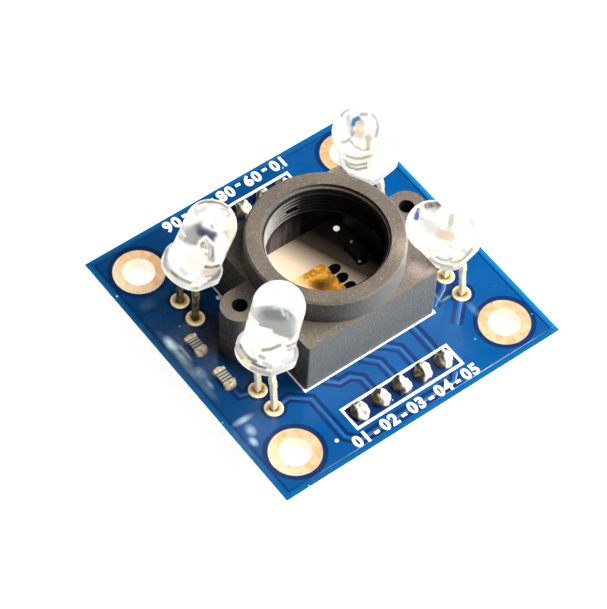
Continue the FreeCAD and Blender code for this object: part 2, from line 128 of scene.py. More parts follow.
def pick(piece, kind, test):
    """Selects the vertices, edges or faces that pass a test."""
    bpy.ops.mesh.select_mode(type=kind)
    bpy.ops.mesh.select_all(action="DESELECT")
    mesh = bmesh.from_edit_mesh(piece.data)
    items = {"VERT": mesh.verts, "EDGE": mesh.edges, "FACE": mesh.faces}[kind]
    for item in items:
        if test(item):
            item.select_set(True)
    mesh.select_flush_mode()
    bmesh.update_edit_mesh(piece.data)


def settle(piece):
    """Puts the piece's place, turn and size into its mesh."""
    only(piece)
    bpy.ops.object.transform_apply(location=True, rotation=True, scale=True)


def place(piece, matrix):
    """Moves a settled piece into place, in its mesh."""
    piece.matrix_world = matrix
    bpy.context.view_layer.update()
    settle(piece)


def apply_modifiers(piece):
    """Works every modifier of a piece into its mesh."""
    only(piece)
    for modifier in list(piece.modifiers):
        bpy.ops.object.modifier_apply(modifier=modifier.name)


def bevelled(piece, width, segments=2, angle=40):
    """Breaks the edges that are sharper than an angle in degrees."""
    edge = piece.modifiers.new("edge_bevel", "BEVEL")
    edge.width = width
    edge.segments = segments
    edge.limit_method = "ANGLE"
    edge.angle_limit = math.radians(angle)
    apply_modifiers(piece)


def outward(piece):
    """Merges doubles and turns every face outwards."""
    with editing(piece):
        bpy.ops.mesh.select_all(action="SELECT")
        bpy.ops.mesh.remove_doubles(threshold=1e-7)
        bpy.ops.mesh.normals_make_consistent(inside=False)


def joined(name, pieces):
    """Makes one named piece of several."""
    deselect()
    for piece in pieces:
        piece.select_set(True)
    bpy.context.view_layer.objects.active = pieces[0]
    if len(pieces) > 1:
        bpy.ops.object.join()
    return begin(name)


def duplicate(piece):
    """A copy with its own mesh."""
    only(piece)
    bpy.ops.object.duplicate(linked=False)
    return bpy.context.object


def hand_over(piece, finish, nodes=(), smooth=30):
    """Gives a finished piece its finish, its body and the solids that it stands for."""
    settle(piece)
    bpy.ops.object.shade_smooth_by_angle(angle=math.radians(smooth))
    piece.data.materials.clear()
    piece.data.materials.append(finish_named(finish))
    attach(piece, BODY)
    if nodes:
        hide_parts(*nodes)
    return piece


def box_piece(name, low, high):
    """A block between two corners."""
    middle = [(a + b) / 2 for a, b in zip(low, high)]
    bpy.ops.mesh.primitive_cube_add(size=1, location=middle)
    piece = begin(name)
    piece.scale = [b - a for a, b in zip(low, high)]
    settle(piece)
    return piece


def rod_piece(name, x, y, bottom, top, radius, sides=64):
    """An upright rod between two heights."""
    bpy.ops.mesh.primitive_cylinder_add(vertices=sides, radius=radius, depth=top - bottom,
                                        location=(x, y, (bottom + top) / 2))
    piece = begin(name)
    settle(piece)
    return piece


def ribbon(name, points, width, height, closed=False):
    """A round-backed strip through points on the board: a curve with a round section, flattened."""
    line = bpy.data.curves.new(name, "CURVE")
    line.dimensions = "3D"
    line.bevel_depth = width / 2
    line.bevel_resolution = 2
    line.use_fill_caps = True
    spline = line.splines.new("POLY")
    spline.points.add(len(points) - 1)
    for point, (x, y) in zip(spline.points, points):
        point.co = (x * MM, y * MM, 0, 1)
    spline.use_cyclic_u = closed
    piece = bpy.data.objects.new(name, line)
    bpy.context.scene.collection.objects.link(piece)
    only(piece)
    bpy.ops.object.convert(target="MESH")
    piece = begin(name)
    piece.scale = (1, 1, 2 * height / width)
    piece.location = (0, 0, BOARD_TOP)
    settle(piece)
    return piece


def cut(piece, cutter):
    """Takes one closed shape out of a piece."""
    modifier = piece.modifiers.new("cut", "BOOLEAN")
    modifier.operation = "DIFFERENCE"
    modifier.solver = "EXACT"
    modifier.object = cutter
    apply_modifiers(piece)
    bpy.data.objects.remove(cutter)


def lathe(name, profile, steps=64, rise=0.0, turns=1):
    """Turns a closed profile piece in the XZ plane about the Z axis."""
    settle(profile)
    screw = profile.modifiers.new("turn", "SCREW")
    screw.axis = "Z"
    screw.steps = steps
    screw.render_steps = steps
    screw.screw_offset = rise
    screw.iterations = turns
    screw.use_merge_vertices = rise == 0
    screw.merge_threshold = 1e-6
    apply_modifiers(profile)
    only(profile)
    piece = begin(name)
    outward(piece)
    return piece


def lamp_matrix(lamp):
    """The place and lean of a lamp's head, whose own origin is the middle of its flange."""
    _, side_x, side_y, offset_x, offset_y, height, lean_x, lean_y = lamp
    middle = Vector((side_x * LAMP_REACH[0] + offset_x * MM, side_y * LAMP_REACH[1] + offset_y * MM,
                     BOARD_TOP + height * MM))
    turn = Matrix.Rotation(math.radians(-lean_y), 4, "X") @ Matrix.Rotation(math.radians(lean_x), 4, "Y")
    return Matrix.Translation(middle) @ turn


def lamp_pad_places():
    """Where the eight lamp leads go into the board."""
    return [(side_x * LAMP_REACH[0], side_y * LAMP_REACH[1] + half * LEAD_PITCH)
            for _, side_x, side_y, *_ in LAMPS for half in (-0.5, 0.5)]


# Shader nodes

class Nodes:
    """A node tree, with short ways to add nodes and to link them."""

    def __init__(self, tree):
        self.tree = tree

    def feed(self, source, target):
        """Links a socket to an input, or gives the input a constant."""
        if isinstance(source, bpy.types.NodeSocket):
            self.tree.links.new(source, target)
        elif target.type == "RGBA":
            target.default_value = (*source, 1)
        else:
            target.default_value = source

    def node(self, kind, inputs=None, **settings):
        """Adds a node with its settings, then feeds its inputs by name or number."""
        node = self.tree.nodes.new(kind)
        for label, value in settings.items():
            setattr(node, label, value)
        for label, value in (inputs or {}).items():
            self.feed(value, node.inputs[label])
        return node

    def soft_noise(self, place, scale, detail=2.0):
        """Soft noise that runs from nought to one."""
        inputs = {"Vector": place, "Scale": scale, "Detail": detail}
        return self.node("ShaderNodeTexNoise", inputs).outputs["Fac"]

    def maths(self, operation, *parts):
        """One step of arithmetic on sockets and numbers."""
        return self.node("ShaderNodeMath", dict(enumerate(parts)), operation=operation).outputs[0]

    def product(self, first, second):
        return self.maths("MULTIPLY", first, second)

    def ranged(self, source, low, high, to_low=0.0, to_high=1.0):
        """Carries the range from low to high over to another range, and stops at its ends."""
        ends = {"Value": source, "From Min": low, "From Max": high, "To Min": to_low, "To Max": to_high}
        return self.node("ShaderNodeMapRange", ends).outputs["Result"]

    def mixed(self, factor, first, second):
        """Mixes two colours, each a socket or three numbers."""
        inputs = {"Factor": factor, 6: first, 7: second}
        return self.node("ShaderNodeMix", inputs, data_type="RGBA").outputs[2]

    def object_place(self):
        """The point's place in the module, since every piece's origin is the module's."""
        return self.node("ShaderNodeTexCoord").outputs["Object"]

    def axes(self):
        """How far a point lies along X, Y and Z."""
        return self.node("ShaderNodeSeparateXYZ", {0: self.object_place()}).outputs

    def length(self, first, second):
        """The length of two crosswise parts."""
        squares = [self.product(part, part) for part in (first, second)]
        return self.maths("SQRT", self.maths("ADD", *squares))

    def slope(self, share_x, share_y):
        """A value that grows along one direction of the board."""
        x, y, _ = self.axes()
        return self.maths("ADD", self.product(x, share_x), self.product(y, share_y))

    def square_reach(self):
        """How far out a point lies, counted in squares round the middle."""
        x, y, _ = self.axes()
        return self.maths("MAXIMUM", self.maths("ABSOLUTE", x), self.maths("ABSOLUTE", y))

    def facing(self, direction):
        """How far the surface faces a direction of the module."""
        pair = {0: self.node("ShaderNodeTexCoord").outputs["Normal"], 1: direction}
        return self.node("ShaderNodeVectorMath", pair, operation="DOT_PRODUCT").outputs["Value"]

    def painted(self, name):
        """A value or colour that is stored on the piece's own vertices."""
        return self.node("ShaderNodeAttribute", attribute_name=name).outputs


def group_tree(name, inputs, outputs):
    """An empty shader group: its nodes, what it is given and what it puts out."""
    tree = bpy.data.node_groups.new(name, "ShaderNodeTree")
    for label, kind, default in inputs:
        socket = tree.interface.new_socket(name=label, in_out="INPUT", socket_type=kind)
        socket.default_value = default
    for label, kind in outputs:
        tree.interface.new_socket(name=label, in_out="OUTPUT", socket_type=kind)
    return Nodes(tree), tree.nodes.new("NodeGroupInput").outputs, tree.nodes.new("NodeGroupOutput").inputs


def grain_group():
    """Fine moulded or cast grain: a height, and a tone that changes more broadly."""
    nodes, given, out = group_tree(
        "surface_grain",
        [("Scale", "NodeSocketFloat", 4000.0), ("Detail", "NodeSocketFloat", 4.0)],
        [("Height", "NodeSocketFloat"), ("Tone", "NodeSocketFloat")])
    nodes.feed(nodes.soft_noise(nodes.object_place(), given["Scale"], given["Detail"]), out["Height"])
    nodes.feed(nodes.soft_noise(nodes.object_place(), nodes.product(given["Scale"], 0.22)), out["Tone"])
    return nodes.tree


def mottle_group():
    """Two colours in soft patches, as on plated or stained surfaces."""
    nodes, given, out = group_tree(
        "two_tone_mottle",
        [("First", "NodeSocketColor", (1, 1, 1, 1)), ("Second", "NodeSocketColor", (0, 0, 0, 1)),
         ("Scale", "NodeSocketFloat", 800.0), ("Balance", "NodeSocketFloat", 0.5),
         ("Softness", "NodeSocketFloat", 0.15)],
        [("Color", "NodeSocketColor"), ("Mask", "NodeSocketFloat")])
    patches = nodes.soft_noise(nodes.object_place(), given["Scale"], 5.0)
    ends = [nodes.maths(step, given["Balance"], given["Softness"]) for step in ("SUBTRACT", "ADD")]
    mask = nodes.ranged(patches, *ends)
    nodes.feed(nodes.mixed(mask, given["First"], given["Second"]), out["Color"])
    nodes.feed(mask, out["Mask"])
    return nodes.tree


def speck_group():
    """Small scattered specks of dust: one where a speck lies and nought elsewhere."""
    nodes, given, out = group_tree(
        "dust_specks",
        [("Scale", "NodeSocketFloat", 900.0), ("Size", "NodeSocketFloat", 0.08)],
        [("Mask", "NodeSocketFloat")])
    cells = nodes.node("ShaderNodeTexVoronoi", {"Vector": nodes.object_place(), "Scale": given["Scale"]})
    thin = nodes.soft_noise(nodes.object_place(), 260.0)
    near = nodes.maths("LESS_THAN", cells.outputs["Distance"], given["Size"])
    few = nodes.maths("GREATER_THAN", thin, 0.58)
    nodes.feed(nodes.product(near, few), out["Mask"])
    return nodes.tree


GROUPS = {}


def shared_group(name):
    """Each shader group, built when it is first asked for."""
    makers = {"grain": grain_group, "mottle": mottle_group, "specks": speck_group}
    if name not in GROUPS:
        GROUPS[name] = makers[name]()
    return GROUPS[name]


class Finish(Nodes):
    """A material while it is put together."""

    def __init__(self, name, **constants):
        self.material = bpy.data.materials.new(name)
        self.material.use_nodes = True
        super().__init__(self.material.node_tree)
        for label, value in constants.items():
            self.give(label.replace("_", " "), value)

    def give(self, label, source):
        """Feeds one input of the material's shader."""
        self.feed(source, self.tree.nodes["Principled BSDF"].inputs[label])

    def colour(self, source):
        self.give("Base Color", source)

    def group(self, name, **values):
        return self.node("ShaderNodeGroup", values, node_tree=shared_group(name)).outputs

    def mottle(self, first, second, scale, balance=0.5, softness=0.15):
        """A colour that changes between two in soft patches."""
        return self.group("mottle", First=first, Second=second, Scale=scale, Balance=balance,
                          Softness=softness)["Color"]

    def patches(self, scale, balance, softness):
        """A mask of soft patches."""
        return self.group("mottle", Scale=scale, Balance=balance, Softness=softness)["Mask"]

    def skin(self, scale, detail, rough, depth, relief="Height"):
        """Gives the surface its own grain: uneven roughness and a fine relief."""
        grain = self.group("grain", Scale=scale, Detail=detail)
        if rough:
            self.give("Roughness", self.ranged(grain["Tone"], 0.3, 0.7, *rough))
        bump = self.node("ShaderNodeBump", {"Height": grain[relief], "Distance": depth, "Strength": 1.0})
        self.give("Normal", bump.outputs["Normal"])
        return grain

    def seen(self):
        """One for what the camera sees by itself, and nought for what lights or shines through."""
        return self.node("ShaderNodeLightPath").outputs["Is Camera Ray"]

    def glow(self, colour):
        """Paints light: gives off a colour that only the eye sees, so that it lights nothing."""
        self.give("Emission Color", self.mixed(self.seen(), BLACK, colour))


# Finishes

BLACK = (0.0, 0.0, 0.0)
UP = (0, 0, 1)

# Painted reflections and edge highlights on the lacquer: middle and half sizes in mm, and strength
PAINTED_REFLECTIONS = (
    (-15.1, 3.9, 0.5, 1.1, 1.0), (-15.2, 2.4, 0.35, 1.3, 0.85), (-14.6, 2.6, 0.2, 1.3, 0.5),
    (-14.8, -0.4, 0.5, 0.8, 0.4), (-14.8, -1.8, 0.25, 0.7, 0.35), (-15.3, 1.0, 0.5, 4.5, 0.18),
    (-14.6, -7.0, 1.1, 0.35, 0.5), (-14.7, -8.3, 0.5, 0.7, 0.35), (-15.2, -9.5, 0.35, 0.6, 0.4),
    (11.2, -9.9, 0.4, 1.2, 0.1), (-14.3, 9.0, 0.8, 0.6, 0.06), (8.6, -15.87, 7.0, 0.06, 0.75),
    (-9.0, -15.87, 5.0, 0.05, 0.4), (9.2, -5.6, 0.25, 1.4, 0.5), (10.0, -7.2, 0.9, 0.15, 0.4),
)
# In the same way, painted light and shade: shaded pools of the lacquer, the painted shade under a
# lamp and the painted shine beside it on the holder, and the painted brown shade in the sensor's resin
PAINTED_SHADE_POOLS = ((-11.0, 2.4, 2.9, 8.5, 0.92), (-9.6, -6.8, 2.4, 1.9, 0.5), (-7.5, 10.5, 5.5, 2.6, 0.5))
HOLDER_SHADES = ((7.95, -6.75, 0.5, 1.0, 0.75),)
HOLDER_SHINES = ((6.3, -6.5, 0.9, 1.1, 0.55), (6.9, -7.3, 0.7, 0.4, 0.35))
RESIN_PAINTED_SHADE = ((0.1, 0.3, 1.1, 0.9, 0.95), (1.3, 1.7, 0.35, 0.3, 0.45), (0.5, 1.6, 0.4, 0.2, 0.4))


def spots_mask(finish, spots):
    """Soft oval spots in the board's plane, where light and shade are painted."""
    x, y, _ = finish.axes()
    mask = 0.0
    for middle_x, middle_y, half_x, half_y, strength in spots:
        near_x = finish.product(finish.maths("SUBTRACT", x, middle_x * MM), 1 / (half_x * MM))
        near_y = finish.product(finish.maths("SUBTRACT", y, middle_y * MM), 1 / (half_y * MM))
        spot = finish.ranged(finish.length(near_x, near_y), 0.3, 1.25, strength, 0.0)
        mask = finish.maths("MAXIMUM", spot, mask)
    return mask


def lacquer(name, base, lift):
    """Glossy blue lacquer with dust; painted shade at the left and in pools, a painted highlight on the rim,
    strongest at the right, and painted reflections.
    """
    finish = Finish(name, Roughness=0.2, Coat_Weight=0.1, Coat_Roughness=0.08, IOR=1.45)
    tone = finish.mottle(base, [c * lift for c in base], 160, 0.5, 0.2)
    # Painted shade: darker towards the left and the back
    dim = finish.ranged(finish.slope(-0.7, 0.5), -1 * MM, 13.5 * MM, 0.0, 0.6)
    shade = finish.maths("MAXIMUM", dim, spots_mask(finish, PAINTED_SHADE_POOLS))
    shaded = finish.mixed(shade, tone, (0.002, 0.007, 0.02))
    edge = BOARD_SIDE / 2
    # A paler rim at the edge, painted three times as strong at the right edge as a highlight
    rim = finish.product(finish.ranged(finish.square_reach(), edge - 0.7 * MM, edge - 0.2 * MM),
                         finish.ranged(finish.axes()[0], edge - 1 * MM, edge - 0.3 * MM, 0.25, 0.75))
    rimmed = finish.mixed(rim, shaded, (0.002, 0.2, 0.5))
    broken = finish.ranged(finish.group("grain", Scale=2600.0, Detail=4.0)["Tone"], 0.4, 0.6, 0.45, 1.0)
    # Painted reflections: whitish spots mixed into the lacquer's colour
    with_reflections = finish.mixed(finish.product(spots_mask(finish, PAINTED_REFLECTIONS), broken), rimmed, (0.6, 0.8, 0.86))
    colour = finish.mixed(finish.group("specks", Scale=900.0, Size=0.09)["Mask"], with_reflections, (0.3, 0.5, 0.62))
    finish.colour(colour)
    finish.skin(900.0, 3.0, (0.16, 0.3), 0.03 * MM, "Tone")
    return finish, colour


def copper_finish():
    """Lacquer where it lies on the copper fill."""
    return lacquer("lacquer_over_copper", bpy.context.scene.board_look.copper_colour, 1.3)[0].material


def track_finish():
    """Lacquer where it lies on a track."""
    return lacquer("lacquer_over_track", bpy.context.scene.board_look.track_colour, 1.2)[0].material


def board_finish():
    """Lacquer over bare laminate on the faces, and sawn glass-fibre laminate at the edges, which glows for
    the eye alone as painted light.
    """
    finish, face = lacquer("board_laminate", bpy.context.scene.board_look.bare_colour, 1.25)
    side = finish.maths("LESS_THAN", finish.maths("ABSOLUTE", finish.facing(UP)), 0.5)
    weave = {"Vector": finish.object_place(), "Scale": 900, "Distortion": 1.5}
    layers = finish.node("ShaderNodeTexWave", weave, bands_direction="Z").outputs["Fac"]
    laminate = finish.mixed(layers, (0.93, 0.9, 0.82), (0.97, 0.97, 0.95))
    finish.colour(finish.mixed(side, face, laminate))
    # Painted light: the sawn edges glow so that they look brightly lit
    finish.give("Emission Strength", 0.75)
    finish.glow(finish.mixed(side, BLACK, laminate))
    return finish.material


def ring_finish():
    """Mottled peach gold of the mounting rings, with a painted highlight palest at the left and a painted
    cream glow on the wall in the hole.
    """
    finish = Finish("ring_plating", Metallic=0.3, Emission_Strength=0.85)
    tone = finish.mottle((0.6, 0.33, 0.13), (0.66, 0.46, 0.25), 1500, 0.5, 0.12)
    # Painted highlight: the left rings turn paler towards the board's left edge
    pale = finish.ranged(finish.axes()[0], -15.2 * MM, -12.5 * MM, 0.7, 0.0)
    tone_with_painted_light = finish.mixed(pale, tone, (0.78, 0.66, 0.45))
    finish.colour(finish.mixed(finish.patches(3200, 0.67, 0.04), tone_with_painted_light, (0.42, 0.24, 0.1)))
    # Painted light: the hole's upright wall glows cream for the eye alone
    wall = finish.ranged(finish.maths("ABSOLUTE", finish.facing(UP)), 0.3, 0.6, 1.0, 0.06)
    finish.glow(finish.mixed(wall, BLACK, (0.97, 0.93, 0.8)))
    finish.skin(3000.0, 5.0, (0.35, 0.6), 0.03 * MM)
    return finish.material


def holder_finish():
    """Matte plastic with a sparkling grain and dust flecks, warm on top; painted lit sides, painted shade at
    the left, inside and under a lamp, and a painted shine and sheen.
    """
    look = bpy.context.scene.holder_look
    finish = Finish("holder_plastic", Roughness=0.6, IOR=1.48, Emission_Strength=0.5)
    grain = finish.skin(5200.0, 3.0, (0.5, 0.72), 0.06 * MM)
    top_tone = finish.mottle(look.dark_colour, look.light_colour, 420, 0.5, 0.25)
    # Painted light and shade by which way a face points: paler lit sides, and painted shade on the left side
    upright = finish.ranged(finish.facing(UP), 0.2, 0.8, 1.0, 0.0)
    left_side = finish.ranged(finish.facing((1, 0, 0)), -0.85, -0.1, 0.9, 0.0)
    side_light_and_shade = finish.mixed(left_side, look.lit_side_colour, look.painted_shade_colour)
    fleck = finish.ranged(grain["Height"], 0.54, 0.74, 0.0, 0.5)
    dust_and_painted_light = finish.mixed(fleck, finish.mixed(upright, top_tone, side_light_and_shade),
                         [min(1, c * 2.4) for c in look.light_colour])
    # Painted shade under a lamp and a painted shine beside it
    for spots, tint in ((HOLDER_SHADES, look.painted_shade_colour), (HOLDER_SHINES, look.shine_colour)):
        dust_and_painted_light = finish.mixed(spots_mask(finish, spots), dust_and_painted_light, tint)
    x, y, z = finish.axes()
    # Painted shade in the cavity, the bore and the ear holes
    in_cavity = finish.product(
        finish.ranged(finish.square_reach(), CAVITY_HALF - 0.03 * MM, CAVITY_HALF, 1.0, 0.0),
        finish.ranged(z, BOARD_TOP + 6 * MM, BOARD_TOP + 7.2 * MM, 1.0, 0.0))
    in_bore = finish.product(
        finish.ranged(finish.length(x, y), BORE_RADIUS + 0.02 * MM, BORE_RADIUS + 0.04 * MM, 1.0, 0.0),
        finish.ranged(z, HOLDER_TOP - 0.7 * MM, HOLDER_TOP - 0.4 * MM, 1.0, 0.0))
    from_ear = finish.length(finish.maths("SUBTRACT", finish.maths("ABSOLUTE", x), EAR_REACH), y)
    in_ear = finish.ranged(from_ear, EAR_BORE + 0.02 * MM, EAR_BORE + 0.04 * MM, 1.0, 0.0)
    # A painted sheen in streaks on the cavity's left wall, which also glows for the eye alone
    drawn_up = {0: finish.object_place(), 1: (1, 1, 0.08)}
    streaky = finish.node("ShaderNodeVectorMath", drawn_up, operation="MULTIPLY").outputs["Vector"]
    streaks = finish.soft_noise(streaky, 1500.0)
    left = finish.product(finish.ranged(x, -0.5 * MM, 2.8 * MM, 1.0, 0.0),
                          finish.ranged(z, BOARD_TOP + 2 * MM, BOARD_TOP + 4.5 * MM, 1.0, 0.0))
    sheen = finish.product(finish.ranged(streaks, 0.35, 0.65, 0.2, 1.0), left)
    walls = finish.mixed(sheen, look.painted_shade_colour, look.wall_colour)
    holes_shaded = finish.mixed(finish.maths("MAXIMUM", in_bore, in_ear), dust_and_painted_light, look.painted_shade_colour)
    finish.colour(finish.mixed(in_cavity, holes_shaded, walls))
    finish.glow(finish.mixed(finish.product(in_cavity, sheen), BLACK, look.wall_colour))
    return finish.material


def thread_finish():
    """Plastic of the lens thread: crests painted pale as lit at the left of the bore, painted shade at the
    right.
    """
    look = bpy.context.scene.holder_look
    finish = Finish("thread_plastic", Roughness=0.45, IOR=1.12)
    x, y, _ = finish.axes()
    crest = finish.ranged(finish.length(x, y), BORE_RADIUS - 0.24 * MM, BORE_RADIUS - 0.1 * MM, 1.0, 0.0)
    # Painted light on the crests at the left of the bore; the rest takes the painted shade tone
    lit = finish.ranged(finish.slope(0.8, -0.6), -5.2 * MM, -2.2 * MM, 1.0, 0.015)
    tone = finish.mottle(look.lit_crest_colour, [c * 0.7 for c in look.lit_crest_colour], 1800, 0.5, 0.2)
    finish.colour(finish.mixed(finish.product(crest, lit), look.painted_shade_colour, tone))
    finish.skin(5200.0, 3.0, (0.4, 0.6), 0.03 * MM)
    return finish.material


def print_finish():
    """White printing ink, a little uneven."""
    finish = Finish("white_print", Roughness=0.55)
    finish.colour(finish.mottle((0.95, 0.95, 0.93), (0.8, 0.82, 0.82), 1500, 0.6, 0.15))
    finish.skin(4000.0, 3.0, None, 0.02 * MM)
    return finish.material


def epoxy_finish():
    """Water-clear cast epoxy with painted light: a glow for the eye alone, a thin painted grey outline and
    painted marks of bent light.
    """
    look = bpy.context.scene.lamp_look
    finish = Finish("clear_epoxy", Transmission_Weight=look.clearness, IOR=1.5, Emission_Strength=look.glow)
    slant = finish.node("ShaderNodeLayerWeight").outputs["Facing"]
    rise = finish.painted("rise")["Fac"]
    marks = finish.painted("marks")
    foot = finish.ranged(rise, 0.42, 0.48, 1.0, 0.0)
    crown = finish.ranged(rise, 0.84, 0.97)
    tone = finish.mottle((1.0, 1.0, 1.0), (0.9, 0.9, 0.86), 900, 0.6, 0.12)
    # Painted shade: a thin grey outline where the surface turns away from the eye
    outlined = finish.mixed(finish.ranged(slant, 0.82, 0.95, 0.0, 0.75), tone, (0.3, 0.29, 0.27))
    hidden = finish.product(finish.maths("MAXIMUM", marks["Alpha"], foot), finish.seen())
    finish.colour(finish.mixed(hidden, outlined, BLACK))
    # Painted light: a glow for the eye alone, weakest where the surface faces the eye and strong at the foot
    # and crown
    slant_glow = finish.ranged(slant, 0.18, 0.38, 0.15, 1.0)
    glow_share = finish.maths("MAXIMUM", slant_glow, finish.maths("MAXIMUM", foot, crown))
    body_glow_tone = finish.mottle((1.0, 1.0, 0.95), (0.5, 0.5, 0.48), 1300, 0.62, 0.06)
    tone_with_painted_light = finish.mottle((2.6, 2.6, 2.52), (2.3, 2.26, 2.05), 700, 0.62, 0.1)
    ripple = finish.ranged(finish.maths("PINGPONG", rise, 0.028), 0.002, 0.008, 0.7, 1.0)
    ripples = finish.maths("MAXIMUM", ripple, finish.ranged(rise, 0.15, 0.16))
    clear = finish.maths("MAXIMUM", finish.ranged(slant, 0.72, 0.95, 1.0, 0.3), foot)
    body = finish.mixed(finish.product(glow_share, finish.product(clear, ripples)), BLACK,
                        finish.mixed(foot, body_glow_tone, tone_with_painted_light))
    finish.glow(finish.mixed(marks["Alpha"], body, marks["Color"]))
    finish.skin(700.0, 2.0, (0.01, 0.06), 0.05 * MM, "Tone")
    return finish.material


def package_finish():
    """Clear moulded resin whose golden leadframe patches are a painted glow for the eye alone, with a
    painted highlight at the left and painted brown shade.
    """
    finish = Finish("package_resin", Transmission_Weight=0.25, IOR=1.45, Emission_Strength=0.75)
    tone = finish.mottle((0.72, 0.35, 0.04), (0.38, 0.15, 0.015), 1700, 0.5, 0.07)
    # Painted highlight: paler towards the left
    pale = finish.ranged(finish.axes()[0], -0.4 * MM, -1.6 * MM, 0.0, 0.7)
    lit = finish.mixed(pale, tone, (0.9, 0.66, 0.36))
    colour = finish.mixed(spots_mask(finish, RESIN_PAINTED_SHADE), lit, (0.06, 0.02, 0.004))
    finish.colour(colour)
    # Painted light: the colour also glows for the eye alone
    finish.glow(colour)
    finish.skin(1500.0, 2.0, (0.15, 0.35), 0.03 * MM, "Tone")
    return finish.material


def resistor_finish():
    """Glazed face with pale strokes across it."""
    finish = Finish("resistor_face")
    stripes = finish.maths("PINGPONG", finish.maths("ADD", finish.axes()[1], 0.12 * MM), 0.17 * MM)
    stroke = finish.ranged(stripes, 0.06 * MM, 0.1 * MM, 1.0, 0.0)
    tone = finish.mottle((0.05, 0.045, 0.04), (0.16, 0.12, 0.08), 2500)
    finish.colour(finish.mixed(stroke, tone, (0.62, 0.6, 0.54)))
    finish.skin(5000.0, 4.0, (0.25, 0.5), 0.02 * MM)
    return finish.material


def joint_finish():
    """Header solder in painted light and shade: cream where it faces the light at the right, dark olive
    brown at the left.
    """
    finish = Finish("header_solder", Metallic=0.35, Coat_Weight=0.3, Coat_Roughness=0.2)
    patches = finish.group("grain", Scale=2600.0, Detail=2.0)["Tone"]
    # Painted light and shade by which way the surface faces the light
    lit = finish.maths("ADD", finish.facing((0.72, -0.55, 0.42)), patches)
    finish.colour(finish.mixed(finish.ranged(lit, 0.42, 0.95), (0.1, 0.07, 0.03), (0.95, 0.9, 0.74)))
    finish.skin(2500.0, 4.0, (0.25, 0.45), 0.02 * MM)
    return finish.material


def pad_finish():
    """Cream gold of the lamp pads, dark brown where the lead goes in, with a faint painted glow for the eye
    alone.
    """
    finish = Finish("pad_gold", Metallic=0.3, Emission_Strength=0.2)
    tone = finish.mottle((0.78, 0.5, 0.17), (0.42, 0.24, 0.07), 2400, 0.5, 0.12)
    reach = finish.painted("reach")["Fac"]
    rimmed = finish.mixed(finish.ranged(reach, 0.66, 0.86, 0.0, 0.9), tone, (0.98, 0.86, 0.56))
    colour = finish.mixed(finish.ranged(reach, 0.4, 0.58, 0.95, 0.0), rimmed, (0.05, 0.026, 0.008))
    finish.colour(colour)
    # Painted light: a faint glow for the eye alone
    finish.glow(colour)
    finish.skin(4000.0, 4.0, (0.25, 0.45), 0.02 * MM)
    return finish.material


def field_finish():
    """Pale coating under the sensor, with painted shade that darkens it towards the far right corner and a
    painted glow for the eye alone.
    """
    finish = Finish("pale_field", Emission_Strength=0.66)
    tone = finish.mottle((0.88, 0.7, 0.52), (0.8, 0.62, 0.44), 260, 0.5, 0.25)
    # Painted shade: darker towards the far right corner
    along = finish.slope(0.9, 0.35)
    near = finish.mixed(finish.ranged(along, 1.7 * MM, 4.5 * MM, 0.0, 0.97), tone, (0.01, 0.007, 0.002))
    colour = finish.mixed(finish.ranged(along, 5 * MM, 6.2 * MM), near, (0.004, 0.003, 0.002))
    finish.colour(colour)
    # Painted light: the colour also glows for the eye alone
    finish.glow(colour)
    finish.skin(3000.0, 3.0, (0.4, 0.6), 0.02 * MM)
    return finish.material


def amber_finish():
    """Stamped leadframe seen through resin: golden with patches of painted brown shade, and a painted glow
    for the eye alone.
    """
    finish = Finish("leadframe_amber", Metallic=0.1, Emission_Strength=0.4)
    tone = finish.mottle((0.86, 0.58, 0.2), (0.5, 0.25, 0.04), 1500, 0.5, 0.14)
    colour = finish.mixed(finish.patches(1900, 0.6, 0.06), tone, (0.1, 0.045, 0.01))
    finish.colour(colour)
    # Painted light: the colour also glows for the eye alone
    finish.glow(colour)
    finish.skin(4000.0, 4.0, (0.3, 0.5), 0.03 * MM)
    return finish.material


def floor_finish(look):
    """Plain floor that the camera sees nearly white."""
    finish = Finish("stage_floor", Roughness=0.9, Emission_Strength=0.97)
    finish.give("Emission Color", finish.seen())
    finish.colour(finish.mottle(look.floor_colour, [c * 0.99 for c in look.floor_colour], 6))
    return finish.material


def plain_finish(name, first, second, scale, rough, softness=0.15, grain_scale=4000.0, **constants):
    """A surface in two close tones, with its own grain."""
    finish = Finish(name, **constants)
    finish.colour(finish.mottle(first, second, scale, 0.5, softness))
    finish.skin(grain_scale, 4.0, rough, 0.02 * MM)
    return finish.material


PLATED = {"softness": 0.1, "grain_scale": 2500.0, "Metallic": 1.0}
# Painted light: tin, lit tin and shining dots give off a little light of their own
TINNED_WITH_GLOW = {"Metallic": 0.35, "Emission_Color": (1.0, 0.9, 0.68), "Emission_Strength": 0.1}
LIT_TIN = {"Metallic": 0.3, "Emission_Color": (1.0, 0.93, 0.76), "Emission_Strength": 0.22}
SHINING = {"Emission_Color": (1, 1, 1), "Emission_Strength": 0.7}

